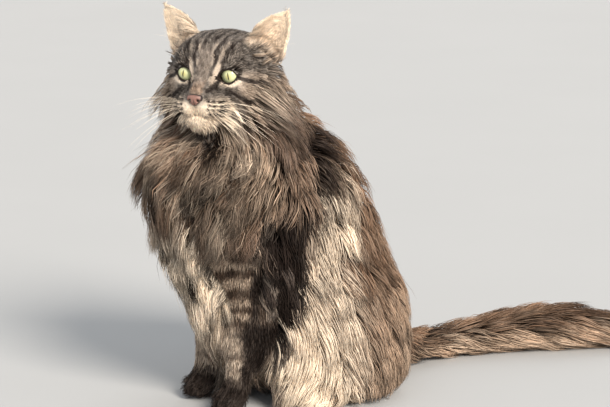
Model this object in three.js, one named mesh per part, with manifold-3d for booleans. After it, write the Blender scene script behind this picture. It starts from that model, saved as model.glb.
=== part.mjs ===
// A long-haired cat of the largest house breed, sitting upright with its tail laid out behind it.
// Life size, in millimetres: +X is the cat's left, -Y is the way its chest faces, +Z is up.
// Its solids are the outer shape of the coat, out to the tips of the hair.
import * as THREE from "three";
import { mergeVertices } from "three/addons/utils/BufferGeometryUtils.js";
import Module from "manifold-3d";

const wasm = await Module();
wasm.setup();

const V = (x, y, z) => new THREE.Vector3(x, y, z);
const { degToRad } = THREE.MathUtils;
const SIDES = { left: 1, right: -1 };

// Driving dimensions
const GAP = 0.3; // clearance between two solids that meet
const COARSE = 21; // size of the cells that the trunk and the ruff are measured in
const MIDDLE = 17; // the same for the thighs and the tail
const FINE = 13; // for the legs
const HEAD_CELL = 8.4;
const NOSE_CELL = 3.8;
const HEAD_AT = V(6, -80, 363);
const HEAD_TURN = new THREE.Euler(degToRad(-4.5), 0, degToRad(32), "ZYX");
const EYE_RADIUS = 11.5;
const EYE_AT = V(25, -37, 4); // in the head's own frame, mirrored for the right eye
const EYE_TURN = degToRad(-12); // how far each eyeball faces outward
const LID_OPENING = V(9.8, 7.5, 7.4); // half sizes of the gap between the lids
const EAR_THICKNESS = 4.6;
const EAR_DEPTH = 17; // how far the ear's back bulges behind its two edges
const EAR_INNER = V(23, -8, 41); // where the edges leave the head, and where they meet
const EAR_OUTER = V(59, 4, 14);
const EAR_TIP = V(72, -3, 77);
const EAR_ROOT = -0.28; // how deep the ear goes into the head, as a share of its length
const TAIL_FLATNESS = 1.3; // width of the tail over its height

// Distance from a point to a solid, negative inside. Each mass is one of these.
function ellipsoid(centre, radii, turn = new THREE.Euler()) {
  const back = new THREE.Matrix4()
    .makeRotationFromEuler(turn)
    .setPosition(centre)
    .invert();
  const smallest = Math.min(radii.x, radii.y, radii.z);
  return (p) => {
    const q = p.clone().applyMatrix4(back).divide(radii);
    const level = q.length();
    if (level < 1e-6) return -smallest;
    return (level * (level - 1)) / q.divide(radii).length();
  };
}

// A limb between two points, round, with its own radius at each end.
function limb(from, to, fromRadius, toRadius) {
  const axis = to.clone().sub(from);
  const long = axis.lengthSq();
  return (p) => {
    const along = THREE.MathUtils.clamp(p.clone().sub(from).dot(axis) / long, 0, 1);
    const radius = THREE.MathUtils.lerp(fromRadius, toRadius, along);
    return p.distanceTo(from.clone().addScaledVector(axis, along)) - radius;
  };
}

// Joins two distances with a rounded inner corner of about the given size.
function melt(a, b, soft) {
  const share = Math.max(soft - Math.abs(a - b), 0) / soft;
  return Math.min(a, b) - (share * share * soft) / 4;
}

// The same mass seen from a frame of its own, such as the head's.
function inFrame(frame, field) {
  const back = frame.clone().invert();
  return (p) => field(p.clone().applyMatrix4(back));
}

// The masses of a shape, melted together one after the other.
function meltAll(masses) {
  return (p) => {
    let d = 1e3;
    for (const [mass, soft] of masses) d = melt(d, mass(p), soft);
    return d;
  };
}

const both = (make) => Object.values(SIDES).map(make);

const headFrame = new THREE.Matrix4().makeRotationFromEuler(HEAD_TURN).setPosition(HEAD_AT);

// The head in its own frame: its face looks along -Y, and the origin is between the ears.
function headField() {
  return meltAll([
    [ellipsoid(V(0, 4, 5), V(47, 54, 45)), 10],
    ...both((s) => [ellipsoid(V(37 * s, -2, -13), V(31, 38, 36)), 16]),
    ...both((s) => [ellipsoid(V(38 * s, 2, 22), V(24, 22, 24)), 14]),
    [ellipsoid(V(0, -26, 19), V(35, 23, 23)), 14],
    [limb(V(0, -34, 9), V(0, -63, -15), 16, 11), 14],
    [ellipsoid(V(0, -50, -26), V(26, 22, 17)), 12],
    ...both((s) => [ellipsoid(V(13.5 * s, -60, -28), V(14, 15, 13)), 8]),
    [ellipsoid(V(0, -55, -43), V(15, 15, 11)), 8],
    [limb(V(0, -38, -34), V(0, 0, -34), 24, 30), 14],
    ...both((s) => [ellipsoid(V(26 * s, -30, -8), V(18, 17, 20)), 12]),
  ]);
}

// The left forepaw stands a little ahead of the right one.
const forepawAt = (s) => V(35 * s, -94 - 4 * s, 13);

function bodyField() {
  return meltAll([
    [ellipsoid(V(0, 60, 66), V(92, 80, 78)), 30],
    [ellipsoid(V(0, 80, 30), V(84, 58, 48)), 30],
    [limb(V(0, 46, 105), V(0, 20, 205), 90, 78), 40],
    [ellipsoid(V(0, -50, 200), V(80, 84, 92)), 40],
    [ellipsoid(V(0, -18, 95), V(72, 76, 84)), 30],
    ...both((s) => [ellipsoid(V(60 * s, 28, 68), V(46, 82, 72)), 30]),
    ...both((s) => [ellipsoid(V(62 * s, 32, 26), V(44, 72, 34)), 24]),
    ...both((s) => [limb(V(72 * s, 0, 14), V(64 * s, -52, 13), 18, 15), 12]),
    ...both((s) => [limb(V(50 * s, -52, 160), V(35 * s, -84 - 4 * s, 36), 36, 19), 20]),
    ...both((s) => [ellipsoid(forepawAt(s), V(21, 26, 18)), 10]),
    [limb(V(0, -20, 245), V(4, -62, 330), 78, 58), 40],
    [ellipsoid(V(0, -104, 246), V(80, 66, 46)), 34],
    [ellipsoid(V(2, -94, 294), V(75, 55, 48)), 30],
    [ellipsoid(V(0, -84, 190), V(62, 62, 70)), 34],
    [ellipsoid(V(0, -84, 120), V(38, 36, 60)), 22],
  ]);
}

const TAIL = new THREE.CatmullRomCurve3([
  V(0, 80, 44),
  V(-6, 150, 26),
  V(-10, 225, 21),
  V(2, 300, 22),
  V(30, 370, 25),
  V(72, 425, 18),
  V(100, 450, 8),
]);
const TAIL_WIDTHS = [30, 27, 25, 33, 38, 28, 10];

function tailField() {
  const steps = 24;
  const squash = (p) => V(p.x, p.y, p.z * TAIL_FLATNESS);
  const points = TAIL.getPoints(steps).map(squash);
  const last = TAIL_WIDTHS.length - 1;
  const radiusAt = (step) => {
    const at = (step / steps) * last;
    const low = Math.min(Math.floor(at), last - 1);
    return THREE.MathUtils.lerp(TAIL_WIDTHS[low], TAIL_WIDTHS[low + 1], at - low);
  };
  const lengths = points
    .slice(1)
    .map((point, i) => limb(points[i], point, radiusAt(i), radiusAt(i + 1)));
  return (p) => {
    const q = squash(p);
    return Math.min(...lengths.map((length) => length(q))) / TAIL_FLATNESS;
  };
}

// Moves a point onto the surface, but no further than a given reach.
function settle(field, p, reach) {
  const step = 0.5;
  const slope = V(
    field(V(p.x + step, p.y, p.z)) - field(V(p.x - step, p.y, p.z)),
    field(V(p.x, p.y + step, p.z)) - field(V(p.x, p.y - step, p.z)),
    field(V(p.x, p.y, p.z + step)) - field(V(p.x, p.y, p.z - step)),
  ).divideScalar(2 * step);
  const move = -field(p) / Math.max(slope.lengthSq(), 0.25);
  if (Math.abs(move) * slope.length() < reach) p.addScaledVector(slope, move);
}

// The closed surface where a field is zero, as quads between the cells that it crosses.
function surface(field, low, high, cell) {
  const size = high.clone().sub(low).divideScalar(cell).ceil().addScalar(2);
  const [nx, ny, nz] = size.toArray();
  const index = (i, j, k) => i + nx * (j + ny * k);
  const place = (i, j, k) => V(i, j, k).multiplyScalar(cell).add(low);
  const value = new Float32Array(nx * ny * nz);
  for (let k = 0; k < nz; k++)
    for (let j = 0; j < ny; j++)
      for (let i = 0; i < nx; i++) {
        const rim = i * j * k === 0 || i === nx - 1 || j === ny - 1 || k === nz - 1;
        value[index(i, j, k)] = rim ? 1 : field(place(i, j, k));
      }
  const corners = [0, 1, 2, 3, 4, 5, 6, 7].map((c) => [c & 1, (c >> 1) & 1, c >> 2]);
  const edges = [];
  for (let a = 0; a < 8; a++)
    for (const bit of [1, 2, 4]) if (!(a & bit)) edges.push([a, a | bit]);
  // A cell that the surface crosses twice is filled at its shallowest corner, until none is left.
  const pieces = (at, wanted) => {
    const group = at.map((_, c) => c);
    for (let again = 0; again < 3; again++)
      for (const [a, b] of edges)
        if (at[a] < 0 === wanted && at[b] < 0 === wanted)
          group[a] = group[b] = Math.min(group[a], group[b]);
    return new Set(group.filter((_, c) => at[c] < 0 === wanted)).size;
  };
  const crossed = (at) => {
    for (const bit of [1, 2, 4])
      for (const side of [0, bit]) {
        const [u, w] = [1, 2, 4].filter((other) => other !== bit);
        const face = [side, side | u, side | u | w, side | w].map((c) => at[c] < 0);
        if (face[0] === face[2] && face[1] === face[3] && face[0] !== face[1]) return true;
      }
    return false;
  };
  for (let changed = true; changed; ) {
    changed = false;
    for (let k = 0; k < nz - 1; k++)
      for (let j = 0; j < ny - 1; j++)
        for (let i = 0; i < nx - 1; i++) {
          const ids = corners.map(([a, b, c]) => index(i + a, j + b, k + c));
          const at = ids.map((id) => value[id]);
          if (at.every((v) => v >= 0) || at.every((v) => v < 0)) continue;
          if (!crossed(at) && pieces(at, true) < 2 && pieces(at, false) < 2) continue;
          const outside = ids.filter((id) => value[id] >= 0);
          const shallowest = outside.reduce((a, b) => (value[a] < value[b] ? a : b));
          value[shallowest] = -0.05 * cell;
          changed = true;
        }
  }
  const vertexOf = new Map();
  const positions = [];
  for (let k = 0; k < nz - 1; k++)
    for (let j = 0; j < ny - 1; j++)
      for (let i = 0; i < nx - 1; i++) {
        const at = corners.map(([a, b, c]) => value[index(i + a, j + b, k + c)]);
        const sum = V(0, 0, 0);
        let count = 0;
        for (const [a, b] of edges) {
          if (at[a] < 0 === at[b] < 0) continue;
          const share = at[a] / (at[a] - at[b]);
          sum.add(V(...corners[a]).lerp(V(...corners[b]), share));
          count++;
        }
        if (!count) continue;
        const p = sum.divideScalar(count).add(V(i, j, k)).multiplyScalar(cell).add(low);
        settle(field, p, cell / 3);
        vertexOf.set(index(i, j, k), positions.length / 3);
        positions.push(p.x, p.y, p.z);
      }
  const triangles = [];
  const steps = [
    [1, 0, 0],
    [0, 1, 0],
    [0, 0, 1],
  ];
  for (let k = 0; k < nz - 1; k++)
    for (let j = 0; j < ny - 1; j++)
      for (let i = 0; i < nx - 1; i++)
        steps.forEach(([a, b, c], axis) => {
          const inside = value[index(i, j, k)] < 0;
          if (inside === value[index(i + a, j + b, k + c)] < 0) return;
          const u = steps[(axis + 1) % 3];
          const w = steps[(axis + 2) % 3];
          const ring = [
            [0, 0],
            [1, 0],
            [1, 1],
            [0, 1],
          ].map(([m, n]) =>
            vertexOf.get(
              index(i - m * u[0] - n * w[0], j - m * u[1] - n * w[1], k - m * u[2] - n * w[2]),
            ),
          );
          if (!inside) ring.reverse();
          triangles.push(ring[0], ring[1], ring[2], ring[0], ring[2], ring[3]);
        });
  return new wasm.Manifold(
    new wasm.Mesh({
      numProp: 3,
      vertProperties: new Float32Array(positions),
      triVerts: new Uint32Array(triangles),
    }),
  );
}

// A three.js shape as a solid. One that a mirrored map turned inside out is turned back.
function solidOf(geometry, matrix = new THREE.Matrix4()) {
  const bare = new THREE.BufferGeometry()
    .setIndex(geometry.index)
    .setAttribute("position", geometry.getAttribute("position").clone())
    .applyMatrix4(matrix);
  const merged = mergeVertices(bare, 1e-3);
  const solid = (indices) =>
    new wasm.Manifold(
      new wasm.Mesh({
        numProp: 3,
        vertProperties: merged.attributes.position.array,
        triVerts: new Uint32Array(indices),
      }),
    );
  const made = solid(merged.index.array);
  return made.volume() > 0 ? made : solid([...merged.index.array].reverse());
}

function geometryOf(solid) {
  const mesh = solid.getMesh();
  return new THREE.BufferGeometry()
    .setAttribute("position", new THREE.BufferAttribute(mesh.vertProperties, 3))
    .setIndex(new THREE.BufferAttribute(mesh.triVerts, 1));
}

// Cutters: each is a function that gives its solid, grown on all sides by a clearance.
const placed = (frame, at, turn = new THREE.Euler()) =>
  frame.clone().multiply(new THREE.Matrix4().makeRotationFromEuler(turn).setPosition(at));

const WORLD = new THREE.Matrix4();

const ball = (at, radii, frame = WORLD, turn) => (grow) => {
  const size = new THREE.Matrix4().makeScale(radii.x + grow, radii.y + grow, radii.z + grow);
  return solidOf(new THREE.SphereGeometry(1, 12, 8), placed(frame, at, turn).multiply(size));
};

const block = (low, high, frame = WORLD, turn) => (grow) => {
  const size = high.clone().sub(low).addScalar(2 * grow);
  const middle = low.clone().add(high).multiplyScalar(0.5);
  return solidOf(new THREE.BoxGeometry(...size.toArray()), placed(frame, middle, turn));
};

// The nose leather: a rounded triangle seen from the front, its point downward.
const noseCutter = (grow) => {
  const outline = [V(-10, -17), V(10, -17), V(10.5, -20), V(4, -27), V(-4, -27), V(-10.5, -20)];
  const middle = V(0, -21.5);
  const grown = outline.map((p) => p.clone().addScaledVector(p.clone().sub(middle).normalize(), grow));
  const depth = 24 + 2 * grow;
  const geometry = new THREE.ExtrudeGeometry(new THREE.Shape(grown), { depth, bevelEnabled: false });
  const upright = placed(headFrame, V(0, -66 + grow, 0), new THREE.Euler(Math.PI / 2, 0, 0));
  return solidOf(geometry, upright);
};

// An ear: a sheet of a few millimetres, bent into half a funnel that opens forward and outward.
const ear = (side) => (grow) => {
  const length = EAR_TIP.distanceTo(EAR_INNER);
  const lean = (base, outward) => (v) => {
    const edge = base.clone().lerp(EAR_TIP, v * 0.95);
    return edge.addScaledVector(outward, Math.sin(Math.PI * Math.max(v, 0)));
  };
  const innerEdge = lean(EAR_INNER, V(-3, 0, 2));
  const outerEdge = lean(EAR_OUTER, V(6, 0, 1));
  const sheet = (u, v) => {
    const bulge = EAR_DEPTH * Math.max(1 - v, 0) ** 0.8 * (1 - u * u);
    return innerEdge(v).lerp(outerEdge(v), (u + 1) / 2).add(V(0.25 * bulge, bulge, 0));
  };
  const geometry = new THREE.BoxGeometry(2, 1, 1, 6, 7, 1);
  const positions = geometry.getAttribute("position");
  for (let i = 0; i < positions.count; i++) {
    const u = positions.getX(i) * (1 + grow / 18);
    const share = positions.getY(i) + 0.5;
    const v = EAR_ROOT - grow / length + (1 - EAR_ROOT + (2 * grow) / length) * share;
    const across = sheet(u + 0.01, v).sub(sheet(u - 0.01, v));
    const along = sheet(u, v + 0.01).sub(sheet(u, v - 0.01));
    const normal = across.cross(along).normalize();
    const thickness = EAR_THICKNESS * (1 - 0.4 * u * u) * (1 - 0.4 * Math.max(v, 0)) + 2 * grow;
    const p = sheet(u, v).addScaledVector(normal, thickness * positions.getZ(i));
    positions.setXYZ(i, p.x * side, p.y, p.z);
  }
  return solidOf(geometry, headFrame);
};

// The front half of an eyeball.
const eye = (side) => (grow) => {
  const at = V(EYE_AT.x * side, EYE_AT.y, EYE_AT.z);
  const radius = EYE_RADIUS + grow;
  const profile = [new THREE.Vector2(0, -grow)];
  for (let turn = 0; turn <= 90; turn += 18) {
    const angle = degToRad(turn);
    const height = turn ? radius * Math.sin(angle) : -grow;
    profile.push(new THREE.Vector2(radius * Math.cos(angle), height));
  }
  profile[profile.length - 1].x = 0;
  const forward = new THREE.Euler(Math.PI, 0, -EYE_TURN * side);
  return solidOf(new THREE.LatheGeometry(profile, 12), placed(headFrame, at, forward));
};

// The gap between the lids, its outer corner a little higher than the inner one.
const lids = (side) => {
  const at = V((EYE_AT.x + 1.6) * side, EYE_AT.y - EYE_RADIUS, EYE_AT.z);
  return ball(at, LID_OPENING, headFrame, new THREE.Euler(0, degToRad(-9 * side), 0));
};

const bodyShape = bodyField();
const headShape = inFrame(headFrame, headField());
const tailShape = tailField();
const cat = (p) => melt(melt(bodyShape(p), headShape(p), 14), tailShape(p), 20);

const floor = block(V(-400, -400, -200), V(400, 700, 0))(0);
const mass = (low, high, cell) => surface(cat, low, high, cell).subtract(floor);
const torsoMass = mass(V(-150, -230, -60), V(150, 190, 440), COARSE);
const thighMass = mass(V(-150, -110, -60), V(150, 190, 190), MIDDLE);
const tailMass = mass(V(-80, 120, -60), V(170, 520, 110), MIDDLE);
const legMass = mass(V(-110, -160, -50), V(110, 60, 200), FINE);
const headMass = mass(V(-120, -230, 250), V(140, 50, 470), HEAD_CELL);
const noseMass = mass(V(-20, -190, 310), V(90, -90, 370), NOSE_CELL);

const neckTilt = new THREE.Euler(degToRad(16), 0, 0);
const headCutter = block(V(-110, -140, -52), V(110, 120, 120), headFrame, neckTilt);
const forwardTilt = new THREE.Euler(degToRad(-14), 0, 0);
// A block on one side of the cat, from its inner to its outer distance off the middle plane.
const sideBlock = (side, low, high) =>
  block(
    V(Math.min(low.x * side, high.x * side), low.y, low.z),
    V(Math.max(low.x * side, high.x * side), high.y, high.z),
  );
const name = (part) => (side) => `${part}_${side > 0 ? "left" : "right"}`;
const paired = (part, material, source, cutter) =>
  both((side) => [name(part)(side), material, source, cutter(side)]);

// Each node: its name, coat, the mass it is cut from, and its cutter. A later node is cut
// back from all earlier ones.
const NODES = [
  ["nose", "nose", noseMass, noseCutter],
  ["head", "face", headMass, headCutter],
  ["ruff", "ruff", torsoMass, block(V(-140, -240, 170), V(140, -66, 345))],
  ["neck", "back", torsoMass, block(V(-140, -160, 262), V(140, 130, 470), WORLD, forwardTilt)],
  ...paired("forepaw", "paw", legMass, (s) => sideBlock(s, V(4, -140, -10), V(57, -56, 29))),
  ...paired("foreleg", "leg", legMass, (s) => sideBlock(s, V(9, -126, -10), V(90, -36, 124))),
  ...paired("hindpaw", "paw", legMass, (s) => sideBlock(s, V(46, -90, -10), V(92, 4, 31))),
  ...paired("thigh", "thigh", thighMass, (s) => sideBlock(s, V(44, -38, -10), V(140, 112, 150))),
  ["tail_base", "tail", tailMass, block(V(-90, 146, -20), V(90, 245, 90))],
  ["tail_middle", "tail", tailMass, block(V(-90, 245, -20), V(170, 345, 90))],
  ["tail_tip", "tail", tailMass, block(V(-90, 345, -20), V(190, 520, 90))],
  ["trunk", "back", torsoMass, block(V(-160, -240, -20), V(160, 200, 440))],
];

// Colours, roughness
const COATS = {
  face: [0x6f655a, 0.9],
  ear: [0x8a7a6c, 0.9],
  ruff: [0x7d6c5e, 0.95],
  back: [0x4c3f38, 0.95],
  leg: [0x5d5249, 0.9],
  paw: [0x3b342f, 0.9],
  thigh: [0xa08d78, 0.95],
  tail: [0x5a4a41, 0.95],
  nose: [0xa8685c, 0.55],
  eye: [0xb9bb78, 0.08],
};

const solids = new Map();
const taken = [];
for (const side of Object.values(SIDES)) {
  solids.set(name("eye")(side), ["eye", eye(side)(0)]);
  solids.set(name("ear")(side), ["ear", ear(side)(0)]);
  taken.push(eye(side), ear(side));
}
for (const [node, coat, source, cutter] of NODES) {
  let solid = source.intersect(cutter(0));
  for (const earlier of taken) solid = solid.subtract(earlier(GAP));
  if (node === "head") for (const side of Object.values(SIDES)) solid = solid.subtract(lids(side)(0));
  const bodies = solid.decompose().sort((a, b) => b.volume() - a.volume());
  solids.set(node, [coat, bodies[0]]);
  taken.push(cutter);
}

const root = new THREE.Group();
for (const [node, [coat, solid]] of solids) {
  const [color, roughness] = COATS[coat];
  const material = new THREE.MeshStandardMaterial({ color, roughness, metalness: 0 });
  const mesh = new THREE.Mesh(geometryOf(solid), material);
  mesh.name = node;
  root.add(mesh);
}

// The origin goes to the middle of the cat's footprint, on the floor.
const extent = new THREE.Box3().setFromObject(root);
const middle = extent.getCenter(V(0, 0, 0));
for (const mesh of root.children) mesh.geometry.translate(-middle.x, -middle.y, -extent.min.z);

export default root;
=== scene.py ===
"""The looks of a life-size, long-haired cat that sits upright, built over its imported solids.

The solids are the outer shape of the coat. One skin lies inside them, and locks of hair grow from
it out to that shape. The scene is in metres. Shapes and markings are worked out in millimetres, in
one of two frames: the cat's own, as p, with +X its left, -Y ahead and the floor at z = 0, and the
head's, as h, with the face along -Y.
"""

import math
import bmesh
import bpy
import numpy as np
from mathutils import Euler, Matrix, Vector
from mathutils.bvhtree import BVHTree


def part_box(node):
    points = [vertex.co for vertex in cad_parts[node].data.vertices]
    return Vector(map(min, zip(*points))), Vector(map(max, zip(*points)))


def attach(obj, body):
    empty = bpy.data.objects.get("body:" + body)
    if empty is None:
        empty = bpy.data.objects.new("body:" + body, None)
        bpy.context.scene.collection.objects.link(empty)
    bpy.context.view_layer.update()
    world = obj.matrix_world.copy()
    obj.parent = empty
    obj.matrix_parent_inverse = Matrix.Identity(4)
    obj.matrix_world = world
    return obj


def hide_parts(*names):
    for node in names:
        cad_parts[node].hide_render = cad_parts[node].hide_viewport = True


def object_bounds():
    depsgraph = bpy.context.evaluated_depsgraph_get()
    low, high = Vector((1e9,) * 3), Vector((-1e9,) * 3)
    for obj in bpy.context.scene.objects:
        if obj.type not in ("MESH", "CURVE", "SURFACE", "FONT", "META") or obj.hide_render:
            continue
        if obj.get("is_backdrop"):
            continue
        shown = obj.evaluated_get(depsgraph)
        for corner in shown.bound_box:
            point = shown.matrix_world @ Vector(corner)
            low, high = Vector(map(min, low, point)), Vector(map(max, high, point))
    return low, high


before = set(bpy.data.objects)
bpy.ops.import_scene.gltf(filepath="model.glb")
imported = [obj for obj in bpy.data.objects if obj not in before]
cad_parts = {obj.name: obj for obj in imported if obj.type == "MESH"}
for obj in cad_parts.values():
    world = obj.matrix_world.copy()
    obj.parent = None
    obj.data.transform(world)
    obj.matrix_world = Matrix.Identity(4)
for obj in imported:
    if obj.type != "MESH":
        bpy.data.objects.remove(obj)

bl_info = {
    "name": "Sitting long-haired cat",
    "version": (1, 0, 0),
    "blender": (4, 5, 0),
    "location": "View3D > Sidebar > Model",
    "description": "Skin, eyes, nose, whiskers and coat of a sitting long-haired cat",
    "category": "Object",
}

MM = 0.001
CAD_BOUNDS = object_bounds()
FLESH = sorted(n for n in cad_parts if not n.startswith("eye"))
EARS = ("ear_left", "ear_right")
SIDES = {"left": 1, "right": -1}

BODY_SHIFT = np.array([0.0, 142.85, 0.0])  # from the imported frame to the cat's own
HEAD_AT = np.array([6.0, -80.0, 363.0])
HEAD_TURN = Euler((math.radians(-4.5), 0.0, math.radians(32.0)), "XYZ")
HEAD_AXES = np.array(HEAD_TURN.to_matrix())

EYE_AT = np.array([25.0, -37.0, 4.0])  # the left one in the head's frame
EYE_RADIUS = 11.5
EYE_TURN, EYE_TILT = math.radians(6), math.radians(9)  # outwards, and up at the outer corner
LID = 1.2  # how thick a lid is
GAP_AT = (-1.9, -1.6)  # the gap between the lids, across and up from the eyeball's middle
GAP_HALF = 9.6  # half the gap's width
MOUTH_AT = (0, -70, -28)
SNOUT_AT = (0, -70, -8)  # the coat grows deeper and longer with the distance from here

# Each forepaw from its heel to the tips of its toes, across and along the cat
PAWS = (((34, -66), (36, -124)), ((-28, -60), (-31, -113)))
TOE_GROOVES = (-9.5, 0, 9.5)  # across a paw at the tips of its toes
GROOVE_DEPTH = 4.5

HAIR_FLOOR = 0.7  # how far above the floor a hair's middle stays at least
WHISKER_ROOM = np.array((0.013, 0.024, 0.018))  # how far whiskers may pass the solids' box, in m
WHISKER_ROWS = 4


def to_cat(points):
    """Scene metres to millimetres in the cat's own frame."""
    return np.asarray(points) * 1000 + BODY_SHIFT


def to_head(points):
    """Scene metres to millimetres in the head's frame: its face looks along -Y."""
    return (to_cat(points) - HEAD_AT) @ HEAD_AXES


def from_head(points):
    """Millimetres in the head's frame to scene metres."""
    return (np.asarray(points) @ HEAD_AXES.T + HEAD_AT - BODY_SHIFT) * MM


def step(values, low, high):
    """0 below low, 1 above high, smooth between. low may be above high."""
    t = np.clip((np.asarray(values, float) - low) / (high - low), 0, 1)
    return t * t * (3 - 2 * t)


def toward(values, target, share):
    """Values moved towards a target by a share of the way."""
    return values + (target - values) * share


def unit(vectors):
    """Vectors made one long."""
    return vectors / np.maximum(np.linalg.norm(vectors, axis=-1, keepdims=True), 1e-9)


def folded(points):
    """Places with those on the right side brought over to the left."""
    return points * np.where(points[:, [0]] < 0, (-1, 1, 1), 1)


def to_line(points, start, end):
    """How far along a line each place is, from 0 to 1, and how far away from it."""
    a, b = np.asarray(start, float), np.asarray(end, float)
    t = np.clip((points - a) @ (b - a) / ((b - a) @ (b - a)), 0, 1)
    return t, np.linalg.norm(points - a - t[:, None] * (b - a), axis=1)


def band(points, start, end, width, soft=0.5):
    """1 near a line between two places, 0 beyond its width."""
    return step(to_line(points, start, end)[1], width, width * soft)


def blob(points, centre, radii):
    """1 at the middle of a soft ellipsoid, 0 outside it."""
    return 1 - step(np.linalg.norm((points - centre) / radii, axis=1), 0.35, 1.0)


# Markings

# The foreleg's bars, as heights and half widths
LEG_BARS = ((186, 7), (165, 8), (141, 8.5), (123, 5.5), (109, 4.5))
# The brow's dark lines and the pale gaps between them: how far off the middle each is up to the
# brow's foot, and how far it leans out for each millimetre above that
BROW_FOOT = 16
BROW_LINES = ((3.0, 0.1), (10.5, 0.16), (19.5, 0.36))
BROW_GAPS = ((6.9, 0.13), (15.2, 0.28))
# Dark lines on the cheek and beside the nose, seen from the front, with their widths
FACE_LINES = (
    ((35, 2), (62, -8), 2.9),
    ((24, -12), (46, -23), 2.6),
    ((40, -22), (58, -28), 3.0),
    ((16.5, -1), (11, -12), 3.0),
)


def wave(points, scale, seed):
    """A smooth pattern from -1 to 1 that repeats nowhere near, features about scale wide."""
    rng = np.random.default_rng(seed)
    total = np.zeros(len(points))
    for _ in range(5):
        way = unit(rng.normal(size=3)) * rng.uniform(0.6, 1.5) * math.pi / scale
        total += np.sin(points @ way + rng.uniform(0, 6.3))
    return total / 2.6


def markings(points, normals):
    """Dark, pale and warm shares of the coat's colour at places in the scene.

    Each mark is laid over those before it, as far as its amount says.
    """
    p, h = to_cat(points), to_head(points)
    shares = np.tile((0.45, 0.1, 0.6), (len(p), 1))
    shares[:, 0] += 0.12 * wave(p, 30, 1)
    shares[:, 1] += 0.08 * wave(p, 24, 2)

    def lay(amount, dark, pale, warm):
        for column, share in enumerate((dark, pale, warm)):
            shares[:, column] += (share - shares[:, column]) * np.clip(amount, 0, 1)

    # The marks' edges follow q, which wanders about the true place
    uneven = np.stack([wave(p, 21, seed) for seed in (21, 22, 23)], 1)
    ragged = wave(p * (1, 1, 0.25), 8, 24)[:, None]
    q = folded(p) + 3.5 * uneven + 5 * ragged * (0, 1, 0.3)
    mark_body(lay, p, q)
    mark_ruff(lay, p, q)
    mark_legs(lay, p, q)
    mark_tail(lay, p)
    mark_face(lay, h)
    mark_ears(lay, h, normals)
    return np.clip(shares, 0, 1)


def mark_body(lay, p, q):
    """A dark shoulder, a reddish back, cream flank and haunch, and a brown rump."""
    _, y, z = p.T
    across, along, _ = q.T
    ripple = wave(p, 15, 4)
    lay(step(y, -30, 15) * step(z, 60, 130), 0.6 + 0.2 * ripple, 0.06, 0.9)
    lay(band(q, (62, 12, 294), (82, -20, 238), 34), 0.96, 0.0, 0.5)
    lay(band(q, (82, -40, 236), (74, -22, 262), 24), 0.45 + 0.2 * ripple, 0.12, 0.75)
    side = step(across, 34, 60)
    streaks = step(wave(p * (1, 1, 0.2), 6, 8), 0.35, 0.9)
    flank = band(q, (72, 30, 214), (86, -4, 130), 43, 0.4) * side
    lay(flank, 0.04 + 0.42 * streaks, 0.84 - 0.25 * streaks, 0.55)
    lay(band(q, (84, -4, 222), (88, -16, 180), 9) * side, 0.6, 0.2, 0.5)
    haunch = step(z, 128, 100) * step(y, -62, -48) * side
    lay(haunch, 0.02 + 0.03 * ripple, 0.86 - 0.15 * streaks, 0.55)
    upper = step(z, 70, 150)
    rump = step(along + 26 * step(z, 170, 90), 20, 84) * step(across, 20, 60)
    lay(rump, 0.3 + 0.18 * upper + 0.13 * ripple, 0.34 - 0.2 * upper, 0.9)
    hem = step(z, 84, 44) * side * step(y, 44, 4) * step(y, -66, -50)
    lay(hem, 0.0, 0.97, 0.6)


def mark_ruff(lay, p, q):
    """A mottled brown ruff, ticked at the shoulder, over pale locks on the chest."""
    _, y, z = p.T
    ruff = blob(p, (0, -118, 262), (120, 74, 88))
    flow = np.clip(wave(p @ np.array([[1, 0, 0], [0, 1, 0.5], [0, 0, 0.5]]), 9, 6), -1, 0.7)
    # Mottled dark shares, and a little darker towards the ruff's front: painted shade
    shaded = 0.36 + 0.1 * step(y, -110, -150) + 0.54 * np.clip(wave(p, 14, 5), -0.5, 1)
    lay(1.8 * ruff, shaded, 0.36 + 0.34 * flow, 0.8)
    lay(band(q, (82, -84, 286), (78, -70, 250), 34), 0.2 + 0.24 * flow, 0.42, 0.9)
    ticked = blob(p, (80, -84, 222), (34, 36, 26))
    lay(ticked, 0.5 + 0.35 * wave(p, 5, 9), 0.2, 0.85)
    chest = step(q[:, 0], 52, 38) * step(y, -78, -96) * step(z, 214, 186)
    locks = step(wave(p * (1, 1, 0.25), 7, 10), 0.15, 0.75)
    lay(chest, 0.04 + 0.85 * locks, 0.95, 0.2)


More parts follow.
